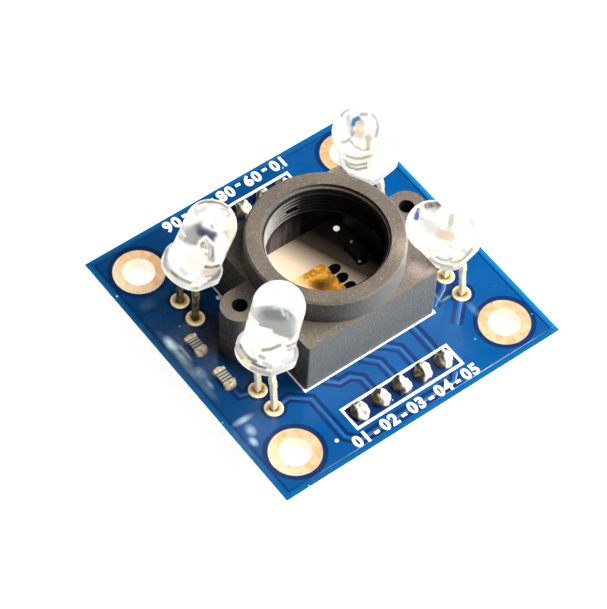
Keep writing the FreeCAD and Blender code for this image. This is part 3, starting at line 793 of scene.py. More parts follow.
# Each plain finish: two tones, the scale of their patches, the least and most roughness, and
# the rest of its make-up
PLAIN_FINISHES = {
    "screw_zinc": ((0.5, 0.5, 0.52), (0.36, 0.36, 0.38), 900, (0.25, 0.45), PLATED),
    "pin_gold": ((0.95, 0.75, 0.35), (0.82, 0.58, 0.22), 1200, (0.2, 0.35), PLATED),
    "die_face": ((0.05, 0.035, 0.05), (0.1, 0.06, 0.05), 6000, (0.08, 0.2), {}),
    "tin_solder": ((1.0, 0.94, 0.68), (0.26, 0.16, 0.06), 2100, (0.25, 0.45), TINNED_WITH_GLOW),
    "shaded_solder": ((0.006, 0.005, 0.004), (0.003, 0.003, 0.003), 1300, (0.7, 0.9), {"IOR": 1.2}),
    # Painted shade: the capacitor body is near black for the shade it sits in
    "capacitor_ceramic": ((0.012, 0.009, 0.007), (0.02, 0.014, 0.01), 1500, (0.5, 0.7), {}),
    "end_cap_tin": ((1.0, 0.92, 0.64), (0.34, 0.19, 0.07), 2400, (0.25, 0.45), TINNED_WITH_GLOW),
    "shaded_end_cap": ((0.02, 0.017, 0.014), (0.04, 0.032, 0.022), 2000, (0.35, 0.5), {}),
    "lead_tin": ((1.0, 0.95, 0.8), (0.74, 0.62, 0.4), 1100, (0.25, 0.45), LIT_TIN),
    "shaded_lead_tin": ((0.5, 0.4, 0.22), (0.12, 0.08, 0.04), 1500, (0.3, 0.5), {"Metallic": 0.3}),
    "pale_phosphor": ((0.95, 0.92, 0.66), (0.9, 0.84, 0.5), 4000, (0.5, 0.7), {}),
    "lamp_crystal": ((0.6, 0.66, 0.7), (0.5, 0.56, 0.62), 9000, (0.1, 0.2), {}),
    "strip_plastic": ((0.02, 0.02, 0.022), (0.035, 0.034, 0.034), 700, (0.4, 0.6), {}),
    # Painted highlight: the test dot glows white
    "bright_dot": ((0.95, 0.95, 0.95), (0.9, 0.9, 0.88), 3000, (0.3, 0.4), SHINING),
}
OWN_FINISHES = {
    "board": board_finish, "copper": copper_finish, "tracks": track_finish, "rings": ring_finish,
    "pads": pad_finish, "holder": holder_finish, "thread": thread_finish, "print": print_finish,
    "epoxy": epoxy_finish, "package": package_finish, "leadframe": amber_finish, "joint": joint_finish,
    "resistor": resistor_finish, "field": field_finish,
}
FINISHES = {}


def finish_named(name):
    """Each shared finish, made when it is first asked for."""
    if name not in FINISHES:
        if name in PLAIN_FINISHES:
            *tones, rest = PLAIN_FINISHES[name]
            FINISHES[name] = plain_finish(name, *tones, **rest)
        else:
            FINISHES[name] = OWN_FINISHES[name]()
    return FINISHES[name]


SOLID_FINISHES = {
    "circuit_board": "board", "mounting_hole_linings": "rings", "lamp_pads": "pads",
    "lens_holder": "holder", "holder_screws": "screw_zinc", "sensor_package": "package",
    "sensor_leads": "leadframe", "sensor_paddle": "leadframe", "sensor_die": "die_face",
    "sensor_solder": "tin_solder", "chip_part_solder": "tin_solder", "lamp_solder": "tin_solder",
    "header_solder_front": "joint", "header_solder_back": "joint",
    "lamp_resistor_back": "resistor", "lamp_resistor_front": "resistor",
    "lamp_resistor_back_terminals": "end_cap_tin", "lamp_resistor_front_terminals": "end_cap_tin",
    "supply_capacitor": "capacitor_ceramic", "supply_capacitor_terminals": "shaded_end_cap",
    "header_strip_front": "strip_plastic", "header_strip_back": "strip_plastic",
    "header_pins_front": "pin_gold", "header_pins_back": "pin_gold",
}
for lamp_row in LAMPS:
    lamp_node = "lamp_" + lamp_row[0]
    lead_finish = "shaded_lead_tin" if lamp_row[0] == "back_left" else "lead_tin"
    SOLID_FINISHES.update({
        lamp_node + "_lens": "epoxy", lamp_node + "_cathode": lead_finish, lamp_node + "_anode": lead_finish,
        lamp_node + "_phosphor": "pale_phosphor", lamp_node + "_die": "lamp_crystal"})


# Settings

class BoardLook(bpy.types.PropertyGroup):
    """The board's copper and the tones of its lacquer"""
    copper_thickness: FloatProperty(name="Copper thickness", description="Height of the lacquered copper",
                                    default=0.045 * MM, unit="LENGTH")
    copper_margin: FloatProperty(name="Copper margin", description="Bare rim between copper and edge",
                                 default=0.06 * MM, unit="LENGTH")
    groove_inset: FloatProperty(name="Groove inset", description="From the edge to the border's gap",
                                default=0.62 * MM, unit="LENGTH")
    groove_width: FloatProperty(name="Groove width", description="Width of the gap inside the border",
                                default=0.14 * MM, unit="LENGTH")
    channel_width: FloatProperty(name="Channel width", description="Width of the gaps that hold the tracks",
                                 default=1.3 * MM, unit="LENGTH")
    track_width: FloatProperty(name="Track width", description="Width of a copper track",
                               default=0.42 * MM, unit="LENGTH")
    bare_colour: FloatVectorProperty(name="Bare colour", description="Lacquer over bare laminate",
                                     default=(0.003, 0.021, 0.095), subtype="COLOR")
    copper_colour: FloatVectorProperty(name="Copper colour", description="Lacquer over the copper fill",
                                       default=(0.001, 0.058, 0.195), subtype="COLOR")
    track_colour: FloatVectorProperty(name="Track colour", description="Lacquer over the tracks",
                                      default=(0.006, 0.09, 0.27), subtype="COLOR")


class PrintLook(bpy.types.PropertyGroup):
    """The printed frames and pin numbers"""
    thickness: FloatProperty(name="Ink thickness", description="Height of the printed ink",
                             default=0.02 * MM, unit="LENGTH")
    line_width: FloatProperty(name="Line width", description="Width of the printed frames",
                              default=0.3 * MM, unit="LENGTH")
    number_height: FloatProperty(name="Number size", description="Size of the printed pin numbers",
                                 default=1.75 * MM, unit="LENGTH")
    spread: FloatProperty(name="Number spread", description="Pitch of the numbers over that of the pins",
                          default=1.29)
    shift: FloatProperty(name="Number shift", description="Place of the middle number along the row",
                         default=-0.2 * MM, unit="LENGTH")


class HolderLook(bpy.types.PropertyGroup):
    """The lens thread, the tones of the holder's plastic, and the colours of its painted light and shade"""
    thread_pitch: FloatProperty(name="Thread pitch", description="Rise of the lens thread in one turn",
                                default=0.5 * MM, unit="LENGTH")
    thread_depth: FloatProperty(name="Thread depth", description="Height of the thread's ridge",
                                default=0.27 * MM, unit="LENGTH")
    thread_turns: IntProperty(name="Thread turns", description="Turns of the lens thread", default=6)
    dark_colour: FloatVectorProperty(name="Dark tone", description="Darker tone of the holder's plastic",
                                     default=(0.095, 0.072, 0.053), subtype="COLOR")
    light_colour: FloatVectorProperty(name="Light tone", description="Paler tone of the holder's plastic",
                                      default=(0.14, 0.112, 0.086), subtype="COLOR")
    # Side tone, inner tone, thread crests, wall sheen and shine are painted light and shade: lit faces,
    # shade, lit crests, a sheen and a shine
    lit_side_colour: FloatVectorProperty(name="Side tone", description="Tone of the holder's upright faces",
                                     default=(0.175, 0.185, 0.178), subtype="COLOR")
    painted_shade_colour: FloatVectorProperty(name="Inner tone", description="Tone of the bore, cavity and holes",
                                      default=(0.006, 0.005, 0.005), subtype="COLOR")
    lit_crest_colour: FloatVectorProperty(name="Thread crests", description="Tone of the lens thread's crests",
                                      default=(0.42, 0.39, 0.35), subtype="COLOR")
    wall_colour: FloatVectorProperty(name="Wall sheen", description="Tone of the cavity's lit wall",
                                     default=(0.2, 0.15, 0.15), subtype="COLOR")
    shine_colour: FloatVectorProperty(name="Shine", description="Tone of the lit patch beside a lamp",
                                      default=(0.42, 0.33, 0.31), subtype="COLOR")


class LampLook(bpy.types.PropertyGroup):
    """The lamps' lenses and their epoxy"""
    body_radius: FloatProperty(name="Body radius", description="Radius of a lamp's round body",
                               default=2.5 * MM, unit="LENGTH")
    height: FloatProperty(name="Lens height", description="From the flange's underside to the dome's top",
                          default=8.6 * MM, unit="LENGTH")
    flange_radius: FloatProperty(name="Flange radius", description="Radius of the flange",
                                 default=2.95 * MM, unit="LENGTH")
    flange_height: FloatProperty(name="Flange height", description="Height of the flange",
                                 default=1.0 * MM, unit="LENGTH")
    flange_flat: FloatProperty(name="Flange flat", description="Distance of the flat side from the axis",
                               default=2.6 * MM, unit="LENGTH")
    clearness: FloatProperty(name="Clearness", description="Share of light that the epoxy lets through",
                             default=0.85, min=0, max=1)
    # The glow is painted light that the epoxy gives off for the eye alone
    glow: FloatProperty(name="Glow", description="Light that the epoxy gathers and gives off", default=0.38)


class SolderLook(bpy.types.PropertyGroup):
    """The header pins' solder joints"""
    joint_width: FloatProperty(name="Joint width", description="Width of a header pin's joint",
                               default=1.9 * MM, unit="LENGTH")
    joint_height: FloatProperty(name="Joint height", description="Height of a header pin's joint",
                                default=1.2 * MM, unit="LENGTH")
    roughness: FloatProperty(name="Lumpiness", description="How far a joint's skin strays from smooth",
                             default=0.2 * MM, unit="LENGTH")


class StageLook(bpy.types.PropertyGroup):
    """The floor, the lights and the camera"""
    floor_colour: FloatVectorProperty(name="Floor colour", description="Colour of the plain floor",
                                      default=(0.5, 0.5, 0.5), subtype="COLOR")
    key_power: FloatProperty(name="Key light", description="Power of the main light", default=12.0,
                             subtype="POWER")
    top_power: FloatProperty(name="Top light", description="Power of the light overhead", default=2.5,
                             subtype="POWER")
    sky: FloatProperty(name="Surround", description="Brightness of the plain white surround", default=1.0)
    fill: FloatProperty(name="Fill", description="Share of the surround that lights opaque surfaces",
                        default=0.4)
    sky_shade: FloatProperty(name="Shaded side", description="Brightness of the surround on the left",
                             default=0.04)
    focal_length: FloatProperty(name="Focal length", description="The camera's focal length",
                                default=FOCAL_LENGTH, subtype="DISTANCE_CAMERA")


# Operators

class FinishSolids(bpy.types.Operator):
    """Gives every solid of the module its finish"""
    bl_idname = "sensor.finish_solids"
    bl_label = "Finish the solids"

    def execute(self, context):
        for node, finish in SOLID_FINISHES.items():
            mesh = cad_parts[node].data
            mesh.materials.clear()
            mesh.materials.append(finish_named(finish))
        return {"FINISHED"}


# Routes of the tracks that show between the lens holder and the front header, in mm
TRACK_ROUTES = (
    ((-5.9, -7.6), (-4.6, -8.95), (-3.35, -8.95), (-2.54, -9.8), (-2.54, -12.2)),
    ((-1.3, -7.6), (-1.0, -8.2), (0.0, -9.3), (0.0, -12.2)),
    ((0.9, -7.6), (1.5, -8.1), (2.54, -9.2), (2.54, -12.2)),
    ((5.08, -7.6), (5.08, -12.2)),
    ((-11.4, -7.6), (-9.5, -7.45), (-7.9, -8.9), (-7.9, -14.1), (-6.9, -15.2), (4.4, -15.2), (5.3, -14.4)),
    ((-13.27, -3.2), (-13.2, -4.6), (-11.43, -5.08)),
    ((8.3, -7.2), (10.2, -6.2), (11.43, -5.08)),
    ((11.43, -7.62), (10.0, -9.0), (8.7, -10.2)),
)


class AddCopper(bpy.types.Operator):
    """Adds the copper fill with its gaps, and the tracks, under the blue lacquer"""
    bl_idname = "sensor.add_copper"
    bl_label = "Add the copper"

    def execute(self, context):
        look = context.scene.board_look
        half = BOARD_SIDE / 2 - look.copper_margin
        low, high = BOARD_TOP - MM, BOARD_TOP + MM
        ring_gap, pad_gap, row_gap, end_gap = 3.1 * MM, 1.3 * MM, 1.12 * MM, 1.15 * MM
        top = BOARD_TOP + look.copper_thickness
        fill = box_piece("copper_fill", (-half, -half, BOARD_TOP), (half, half, top))
        for x in (-MOUNT_REACH, MOUNT_REACH):
            for y in (-MOUNT_REACH, MOUNT_REACH):
                cut(fill, rod_piece("gap", x, y, low, high, ring_gap))
        for x, y in lamp_pad_places():
            cut(fill, rod_piece("gap", x, y, low, high, pad_gap, 40))
        reach = PIN_XS[-1] + end_gap
        for y in (-HEADER_ROW, HEADER_ROW):
            cut(fill, box_piece("gap", (-reach, y - row_gap, low), (reach, y + row_gap, high)))
        rim = BOARD_SIDE / 2 - look.groove_inset
        groove = box_piece("gap", (-rim, -rim, low), (rim, rim, high))
        within = rim - look.groove_width
        cut(groove, box_piece("inside", (-within, -within, low - MM), (within, within, high + MM)))
        cut(fill, groove)
        inner = HOLDER_SIDE / 2 - 0.7 * MM
        cut(fill, box_piece("gap", (-inner, -inner, low), (inner, inner, high)))
        for route in TRACK_ROUTES:
            cut(fill, ribbon("gap", route, look.channel_width, look.channel_width / 2))
        bevelled(fill, 0.04 * MM, 1, 60)
        hand_over(fill, "copper")
        tracks = [ribbon("track", route, look.track_width, look.copper_thickness) for route in TRACK_ROUTES]
        hand_over(joined("copper_tracks", tracks), "tracks", smooth=60)
        return {"FINISHED"}


def print_frame(low, high):
    """A printed rectangle, sunk a little into the copper: four sides of one line's width."""
    look = bpy.context.scene.print_look
    width = look.line_width
    base = BOARD_TOP + bpy.context.scene.board_look.copper_thickness * 0.6
    frame_piece = box_piece("frame", (*low, base), (*high, base + look.thickness + 0.02 * MM))
    cut(frame_piece, box_piece("inside", (low[0] + width, low[1] + width, BOARD_TOP - MM),
                               (high[0] - width, high[1] - width, BOARD_TOP + MM)))
    return frame_piece


def print_number(text, x, y, turn):
    """One printed pin number, as bold as the module's own print."""
    look = bpy.context.scene.print_look
    bpy.ops.object.text_add(location=(0, 0, 0))
    letter = bpy.context.object
    letter.data.body = text
    letter.data.size = look.number_height
    letter.data.align_x = "CENTER"
    letter.data.align_y = "CENTER"
    letter.data.resolution_u = 4
    letter.data.offset = 0.07 * MM
    letter.data.extrude = 0.02 * MM
    letter.data.space_character = 1.15
    bpy.ops.object.convert(target="MESH")
    piece = begin("pin_number")
    piece.rotation_euler = (0, 0, turn)
    piece.location = (x, y, BOARD_TOP + 0.06 * MM)
    settle(piece)
    return piece


class AddPrint(bpy.types.Operator):
    """Adds the white print: frames round the headers and the holder, dots and plain pin numbers"""
    bl_idname = "sensor.add_print"
    bl_label = "Add the print"

    def execute(self, context):
        look = context.scene.print_look
        lines = []
        frame_half, frame_near, frame_far = 6.5 * MM, 11.37 * MM, 14.22 * MM
        lines.append(print_frame((-frame_half, -frame_far), (frame_half, -frame_near)))
        lines.append(print_frame((-frame_half, frame_near), (frame_half, frame_far)))
        square = HOLDER_SIDE / 2 + 0.17 * MM
        lines.append(print_frame((-square, -square), (square, square)))
        top = BOARD_TOP + 0.075 * MM
        for x, y, radius in ((-8.2, 5.72, 0.26), (-8.79, -13.99, 0.2)):
            lines.append(rod_piece("dot", x * MM, y * MM, BOARD_TOP, top, radius * MM, 20))
        piece = joined("board_print", lines)
        bevelled(piece, 0.01 * MM, 1, 60)
        hand_over(piece, "print")
        numbers = []
        front_row, back_row = -15.3 * MM, 15.55 * MM
        for i, x in enumerate(PIN_XS):
            for first, row, turn in ((1, front_row, 0), (6, back_row, math.pi)):
                numbers.append(print_number("%02d" % (first + i), x * look.spread + look.shift, row, turn))
                if i:
                    between = (x - LEAD_PITCH / 2) * look.spread + look.shift
                    numbers.append(print_number("-", between, row, turn))
        hand_over(joined("pin_numbers", numbers), "print")
        return {"FINISHED"}


class AddLensThread(bpy.types.Operator):
    """Adds the fine lens thread inside the holder's bore"""
    bl_idname = "sensor.add_lens_thread"
    bl_label = "Add the lens thread"

    def execute(self, context):
        look = context.scene.holder_look
        radius = look.thread_depth * 0.75
        start = (BORE_RADIUS - radius * 0.35, 0,
                 HOLDER_TOP - 0.5 * MM - look.thread_pitch * (look.thread_turns + 0.2))
        bpy.ops.mesh.primitive_circle_add(vertices=3, radius=radius, location=start,
                                          rotation=(math.pi / 2, -math.pi / 2, 0))
        thread = lathe("lens_thread", begin("profile"), 128, look.thread_pitch, look.thread_turns)
        notch = box_piece("notch", (-0.25 * MM, 5.3 * MM, BOARD_TOP + 7.1 * MM),
                          (1.05 * MM, 6.4 * MM, BOARD_TOP + 7.75 * MM))
        cut(thread, notch)
        hand_over(thread, "thread")
        return {"FINISHED"}


# Tints of the painted marks of bent light and reflection in the lamps' epoxy
MARK_TINTS = {
    "smoke": (0.38, 0.39, 0.38), "core": (0.2, 0.22, 0.23), "pale": (0.72, 0.73, 0.7),
    "ink": (0.04, 0.03, 0.018), "brown": (0.17, 0.13, 0.09), "olive": (0.3, 0.29, 0.2),
    "straw": (0.84, 0.83, 0.46), "violet": (0.08, 0.06, 0.13), "blue": (0.14, 0.16, 0.5),
    "sky": (0.08, 0.25, 0.47), "beige": (0.84, 0.7, 0.53), "sand": (0.7, 0.6, 0.47),
    "grey": (0.38, 0.35, 0.31), "rose": (0.7, 0.4, 0.36), "lilac": (0.55, 0.56, 0.68),
    "ivory": (0.93, 0.92, 0.8), "white": (1.0, 0.99, 0.96),
}

# The painted marks of bent light and reflection on each lamp, the later ones on top: tint,
# strength, and half width and points in the photograph's pixels
LAMP_MARKS = {
    "front_left": (
        ("white", 0.9, 16, (266, 292), (286, 294)), ("white", 1.0, 9, (256, 332), (270, 342), (284, 347)),
        ("smoke", 1.0, 12, (264, 316), (286, 316)), ("smoke", 1.0, 10, (266, 323), (286, 328)),
        ("smoke", 1.0, 7, (276, 331), (289, 335)), ("smoke", 0.6, 5, (293, 318), (293, 332)),
        ("core", 0.7, 8, (268, 314), (282, 316)), ("pale", 0.9, 2.2, (282, 310), (284, 315)),
        ("pale", 0.7, 1.8, (287, 313), (288, 318)), ("pale", 0.6, 3.5, (273, 285), (277, 292)),
        ("olive", 0.9, 2.2, (263, 350), (271, 349), (280, 345)),
        ("grey", 0.8, 2.5, (260, 356), (264, 358)), ("grey", 0.6, 2.2, (264, 363), (271, 366)),
        ("straw", 0.9, 3.6, (243, 358), (248, 365)),
        ("grey", 0.9, 3.2, (252, 368), (259, 371), (270, 374)),
        ("brown", 0.9, 2.2, (240, 345), (244, 352), (249, 358), (256, 361)),
        ("grey", 0.8, 2.2, (236, 345), (238, 352), (242, 358)),
        ("beige", 0.5, 2.5, (241, 350), (246, 357)), ("ink", 0.9, 2.1, (253, 363), (259, 366), (265, 368)),
        ("grey", 0.9, 1.9, (287, 346), (292, 345), (298, 341)), ("grey", 0.7, 1.8, (288, 350), (293, 348)),
        ("grey", 0.8, 2.1, (295, 348), (295, 356)), ("pale", 0.6, 5, (284, 362), (294, 358)),
        ("olive", 0.8, 1.9, (279, 374), (288, 371), (294, 366)),
        ("grey", 0.7, 1.9, (279, 369), (284, 368)),
    ),
    "back_left": (
        ("white", 0.95, 13, (199, 212), (224, 213)), ("white", 0.9, 8, (209, 225), (228, 224)),
        ("white", 0.8, 8, (189, 221), (198, 216)), ("white", 1.0, 7, (181, 246), (193, 252), (209, 258)),
        ("smoke", 1.0, 10, (191, 234), (197, 238)), ("smoke", 1.0, 4.5, (187, 240), (195, 244)),
        ("white", 1.0, 6, (184, 251), (196, 256), (208, 260)), ("grey", 0.9, 6, (198, 240), (203, 247)),
        ("violet", 0.95, 7, (202, 232), (207, 234), (213, 237)), ("ink", 0.5, 2.0, (203, 232), (212, 242)),
        ("brown", 0.7, 4, (200, 247), (203, 243)), ("pale", 0.8, 3.5, (210, 247), (209, 255)),
        ("grey", 0.8, 1.8, (206, 243), (206, 255)), ("grey", 0.7, 1.8, (210, 245), (209, 256)),
        ("white", 0.9, 2.2, (198, 250), (200, 242), (206, 237), (212, 243)),
        ("white", 1.0, 8, (221, 241), (217, 256)), ("brown", 0.9, 2.0, (213, 247), (213, 257)),
        ("grey", 0.9, 3.5, (210, 259), (213, 260)), ("pale", 0.8, 3.2, (195, 208), (197, 214)),
        ("pale", 0.8, 3, (200, 211), (205, 209)), ("sand", 0.8, 2.2, (209, 204), (213, 204)),
        ("brown", 0.9, 1.8, (199, 204), (205, 202), (213, 202), (221, 204), (228, 208)),
        ("straw", 0.3, 5, (224, 212), (229, 226)),
        ("olive", 0.5, 1.6, (221, 209), (227, 210), (230, 215), (226, 217)),
        ("pale", 0.9, 1.9, (219, 215), (221, 221)), ("pale", 0.9, 1.9, (215, 218), (217, 225)),
        ("grey", 0.8, 1.9, (212, 226), (213, 228)), ("straw", 0.45, 4, (229, 229), (231, 234)),
        ("ivory", 0.9, 10, (192, 259), (202, 262)), ("ink", 0.85, 2.2, (206, 267), (212, 268), (219, 266)),
        ("beige", 0.8, 5.5, (205, 273), (215, 272)),
        ("sand", 0.8, 1.6, (205, 272), (211, 272), (217, 270)),
        ("grey", 0.7, 1.6, (206, 277), (213, 275), (218, 272)),
        ("brown", 0.9, 2.1, (213, 278), (218, 275), (220, 270)),
        ("olive", 0.9, 2.1, (209, 281), (217, 279)), ("grey", 0.9, 3, (209, 285), (214, 285)),
        ("pale", 0.9, 2.6, (181, 269), (186, 274)),
        ("olive", 0.8, 1.8, (192, 289), (205, 287), (214, 286)),
        ("olive", 0.8, 2.1, (165, 266), (165, 259), (168, 250)),
        ("straw", 0.9, 3.4, (169, 272), (174, 279)),
        ("grey", 0.8, 2.2, (164, 263), (168, 270), (172, 272)),
        ("brown", 0.8, 2.2, (173, 273), (179, 279), (190, 283)),
        ("pale", 0.9, 3.6, (176, 281), (184, 285)), ("straw", 0.5, 2.8, (188, 287), (194, 289)),
    ),
    "front_right": (
        ("white", 1.0, 18, (415, 225), (432, 230)), ("white", 1.0, 18, (440, 212), (462, 222)),
        ("white", 1.0, 14, (470, 222), (474, 240), (466, 250)), ("white", 1.0, 12, (430, 245), (452, 250)),
        ("white", 1.0, 9, (425, 252), (440, 264), (460, 266), (474, 256)),
        ("pale", 0.6, 10, (428, 219), (432, 226)), ("blue", 1.0, 3.6, (418, 210), (416, 218)),
        ("lilac", 0.8, 2.4, (421, 205), (419, 212)), ("rose", 0.5, 2.2, (421, 217), (422, 219)),
        ("grey", 1.0, 7, (427, 206), (435, 205)), ("brown", 0.7, 2.4, (430, 205), (432, 207)),
        ("ink", 0.6, 2.0, (436, 203), (439, 206)), ("pale", 0.8, 3.5, (426, 212), (434, 210)),
        ("sand", 0.85, 4, (452, 217), (450, 224), (448, 231)), ("beige", 1.0, 10, (442, 235), (450, 237)),
        ("sand", 0.5, 4, (430, 252), (437, 252)), ("ivory", 1.0, 12, (434, 258), (450, 262), (466, 257)),
        ("grey", 0.9, 1.9, (430, 258), (436, 263), (443, 266), (451, 267)),
        ("olive", 0.7, 1.7, (436, 257), (441, 260), (446, 261), (451, 259)),
        ("olive", 0.7, 1.7, (450, 262), (456, 262), (462, 260), (467, 255), (471, 249)),
        ("olive", 0.5, 1.7, (440, 268), (446, 270), (452, 270), (459, 268)),
        ("olive", 0.4, 2.8, (463, 250), (466, 253)), ("sand", 0.6, 1.8, (468, 258), (472, 251)),
        ("sand", 0.4, 1.8, (471, 220), (473, 233), (470, 245)),
        ("grey", 0.4, 1.6, (407, 214), (404, 224), (406, 236)),
        ("olive", 0.3, 1.7, (448, 247), (454, 248), (459, 251), (463, 256)),
    ),
    "back_right": (
        ("white", 1.0, 16, (346, 119), (366, 118)), ("white", 1.0, 14, (356, 132), (372, 134)),
        ("white", 1.0, 12, (386, 132), (394, 150), (388, 168)), ("white", 1.0, 13, (366, 170), (380, 176)),
        ("white", 1.0, 10, (340, 130), (346, 142)), ("ivory", 1.0, 13, (350, 160), (366, 161)),
        ("grey", 0.85, 1.8, (341, 116), (344, 112), (348, 110), (352, 108)),
        ("grey", 0.8, 1.7, (352, 108), (357, 107), (364, 108)),
        ("grey", 0.75, 2.1, (373, 115), (377, 121), (378, 128), (376, 137)),
        ("lilac", 0.6, 3, (348, 118), (350, 134)), ("grey", 0.7, 2.2, (361, 115), (366, 115)),
        ("beige", 1.0, 6, (361, 124), (358, 140)), ("sky", 1.0, 3.2, (353, 125), (354, 121), (358, 119)),
        ("rose", 0.4, 2.6, (360, 121), (361, 125)), ("grey", 0.6, 1.8, (352, 127), (352, 135)),
        ("white", 0.9, 4.5, (357, 141), (360, 147)), ("sand", 1.0, 5, (368, 139), (368, 148)),
        ("grey", 0.7, 1.9, (337, 142), (342, 143), (346, 142), (350, 139), (354, 133)),
        ("grey", 0.9, 1.9, (351, 142), (355, 147), (362, 151), (368, 150)),
        ("straw", 0.7, 3.6, (364, 158), (370, 156), (375, 152)),
        ("olive", 0.7, 1.7, (343, 153), (348, 157), (355, 159), (362, 159), (373, 155)),
        ("olive", 0.8, 1.7, (343, 160), (348, 164), (356, 166), (366, 164)),
        ("olive", 0.9, 1.8, (345, 165), (350, 168), (357, 170), (366, 168)),
        ("pale", 0.7, 2, (342, 150), (343, 164), (347, 172)), ("rose", 0.12, 8, (384, 150), (385, 166)),
        ("olive", 0.4, 1.8, (350, 174), (356, 177), (364, 180), (374, 184)),
    ),
}


def photo_pixel(point):
    """Where a point of the module lies in the photograph."""
    offset = point - CAMERA_SPOT
    scale = -PHOTO_FOCAL / offset.dot(CAMERA_BACK)
    right, up = scale * offset.dot(CAMERA_RIGHT), scale * offset.dot(CAMERA_UP)
    return PHOTO_MIDDLE[0] + right, PHOTO_MIDDLE[1] - up


def stroke_cover(pixel, half_width, points):
    """How far a soft stroke covers a pixel: one along its middle, nought past its half width."""
    nearest = half_width
    for (ax, ay), (bx, by) in zip(points, points[1:]):
        run_x, run_y = bx - ax, by - ay
        share = ((pixel[0] - ax) * run_x + (pixel[1] - ay) * run_y) / (run_x ** 2 + run_y ** 2)
        share = min(1.0, max(0.0, share))
        nearest = min(nearest, math.dist(pixel, (ax + share * run_x, ay + share * run_y)))
    return min(1.0, 1.8 * (1 - nearest / half_width))


def paint_marks(lens, lamp, glow):
    """Paints a lamp's marks of bent light and reflection on its lens as painted light, on the side that
    faces the camera and the side behind.
    """
    head = lamp_matrix(lamp)
    half_turn = head @ Matrix.Rotation(math.pi, 4, "Z") @ head.inverted()
    marks = lens.data.attributes.new("marks", "FLOAT_COLOR", "POINT")
    for vertex in lens.data.vertices:
        point = vertex.co
        if vertex.normal.dot(CAMERA_BACK) < 0:
            point = half_turn @ point
        pixel = photo_pixel(point)
        colour, cover = Vector((0, 0, 0)), 0.0
        for tint, strength, half_width, *points in LAMP_MARKS[lamp[0]]:
            weight = strength * stroke_cover(pixel, half_width, points)
            if weight > 0:
                cover += weight - cover * weight
                colour = colour.lerp(Vector(MARK_TINTS[tint]) / glow, weight / cover)
        marks.data[vertex.index].color = (*colour, cover)


class AddLamps(bpy.types.Operator):
    """Adds the four clear lamp lenses, with their domes, flanges and flats"""
    bl_idname = "sensor.add_lamps"
    bl_label = "Add the lamps"

    def execute(self, context):
        look = context.scene.lamp_look
        lens = self.add_lens(look)
        for lamp in LAMPS:
            piece = duplicate(lens)
            node = "lamp_" + lamp[0]
            piece.name = node + "_clear_lens"
            piece.visible_shadow = False
            rise = piece.data.attributes.new("rise", "FLOAT", "POINT")
            for vertex in piece.data.vertices:
                rise.data[vertex.index].value = vertex.co.z / look.height
            place(piece, lamp_matrix(lamp))
            paint_marks(piece, lamp, look.glow)
            hand_over(piece, "epoxy", [node + "_lens"], 35)
        bpy.data.objects.remove(lens)
        return {"FINISHED"}

    def add_lens(self, look):
        """One upright lens: half a ball, drawn down into the body and out into the flange."""
        centre = look.height - look.body_radius
        foot = look.flange_height + 0.25 * MM
        body_rings, side_rings = 36, 10
        bpy.ops.mesh.primitive_uv_sphere_add(segments=168, ring_count=96, radius=look.body_radius,
                                             location=(0, 0, centre))
        lens = begin("lens")
        settle(lens)
        steps = [(centre + (foot - centre) * (i + 1) / body_rings, look.body_radius)
                 for i in range(body_rings)]
        # The rounding where the body meets the flange, then the flange's broken edges and side
        steps += [
            (look.flange_height + 0.07 * MM, look.body_radius + 0.02 * MM),
            (look.flange_height, look.body_radius + 0.1 * MM),
            (look.flange_height - 0.02 * MM, look.flange_radius - 0.12 * MM),
            (look.flange_height - 0.12 * MM, look.flange_radius),
        ]
        side = look.flange_height - 0.24 * MM
        steps += [(0.12 * MM + side * (1 - (i + 1) / side_rings), look.flange_radius)
                  for i in range(side_rings)]
        steps.append((0.0, look.flange_radius - 0.12 * MM))
        with editing(lens):
            pick(lens, "VERT", lambda v: v.co.z < centre - 1e-6)
            bpy.ops.mesh.delete(type="VERT")
            pick(lens, "EDGE", lambda e: e.is_boundary)
            level, width = centre, look.body_radius
            for z, r in steps:
                bpy.ops.mesh.extrude_region_move(TRANSFORM_OT_translate={"value": (0, 0, z - level)})
                bpy.ops.transform.resize(value=(r / width, r / width, 1), center_override=(0, 0, 0))
                level, width = z, r
            bpy.ops.mesh.edge_face_add()
            bpy.ops.mesh.select_all(action="SELECT")
            bpy.ops.mesh.bisect(plane_co=(0, -look.flange_flat, 0), plane_no=(0, -1, 0), use_fill=True,
                                clear_outer=True, threshold=1e-7)
            bpy.ops.mesh.select_all(action="SELECT")
            bpy.ops.mesh.normals_make_consistent(inside=False)
        return lens


def solder_blob(name, size, seed, lump, detail=3, octaves=4):
    """A lump of solder: a fine ball squashed to size, whose skin strays by noise."""
    bpy.ops.mesh.primitive_ico_sphere_add(subdivisions=detail, radius=0.5)
    blob = begin(name)
    with editing(blob):
        mesh = bmesh.from_edit_mesh(blob.data)
        for vertex in mesh.verts:
            spot = vertex.co * 2.6 + Vector((seed * 7.3, seed * 3.1, seed))
            stray = noise.fractal(spot, 0.9, 2.1, octaves)
            ridge = abs(noise.noise(vertex.co * 1.9 + Vector((0, seed * 5.7, 0))))
            vertex.co *= 1 + lump * stray - lump * 0.8 * ridge
        bmesh.update_edit_mesh(blob.data)
    blob.scale = size
    settle(blob)
    return blob


def seated_blob(name, size, spot, seed, lump, detail=3, octaves=4):
    """A lump of solder in its place on the board, cut off level with the board's top."""
    blob = solder_blob(name, size, seed, lump, detail, octaves)
    blob.location = spot
    settle(blob)
    with editing(blob):
        bpy.ops.mesh.select_all(action="SELECT")
        bpy.ops.mesh.bisect(plane_co=(0, 0, BOARD_TOP), plane_no=(0, 0, -1), use_fill=True,
                            clear_outer=True, threshold=1e-7)
    return blob


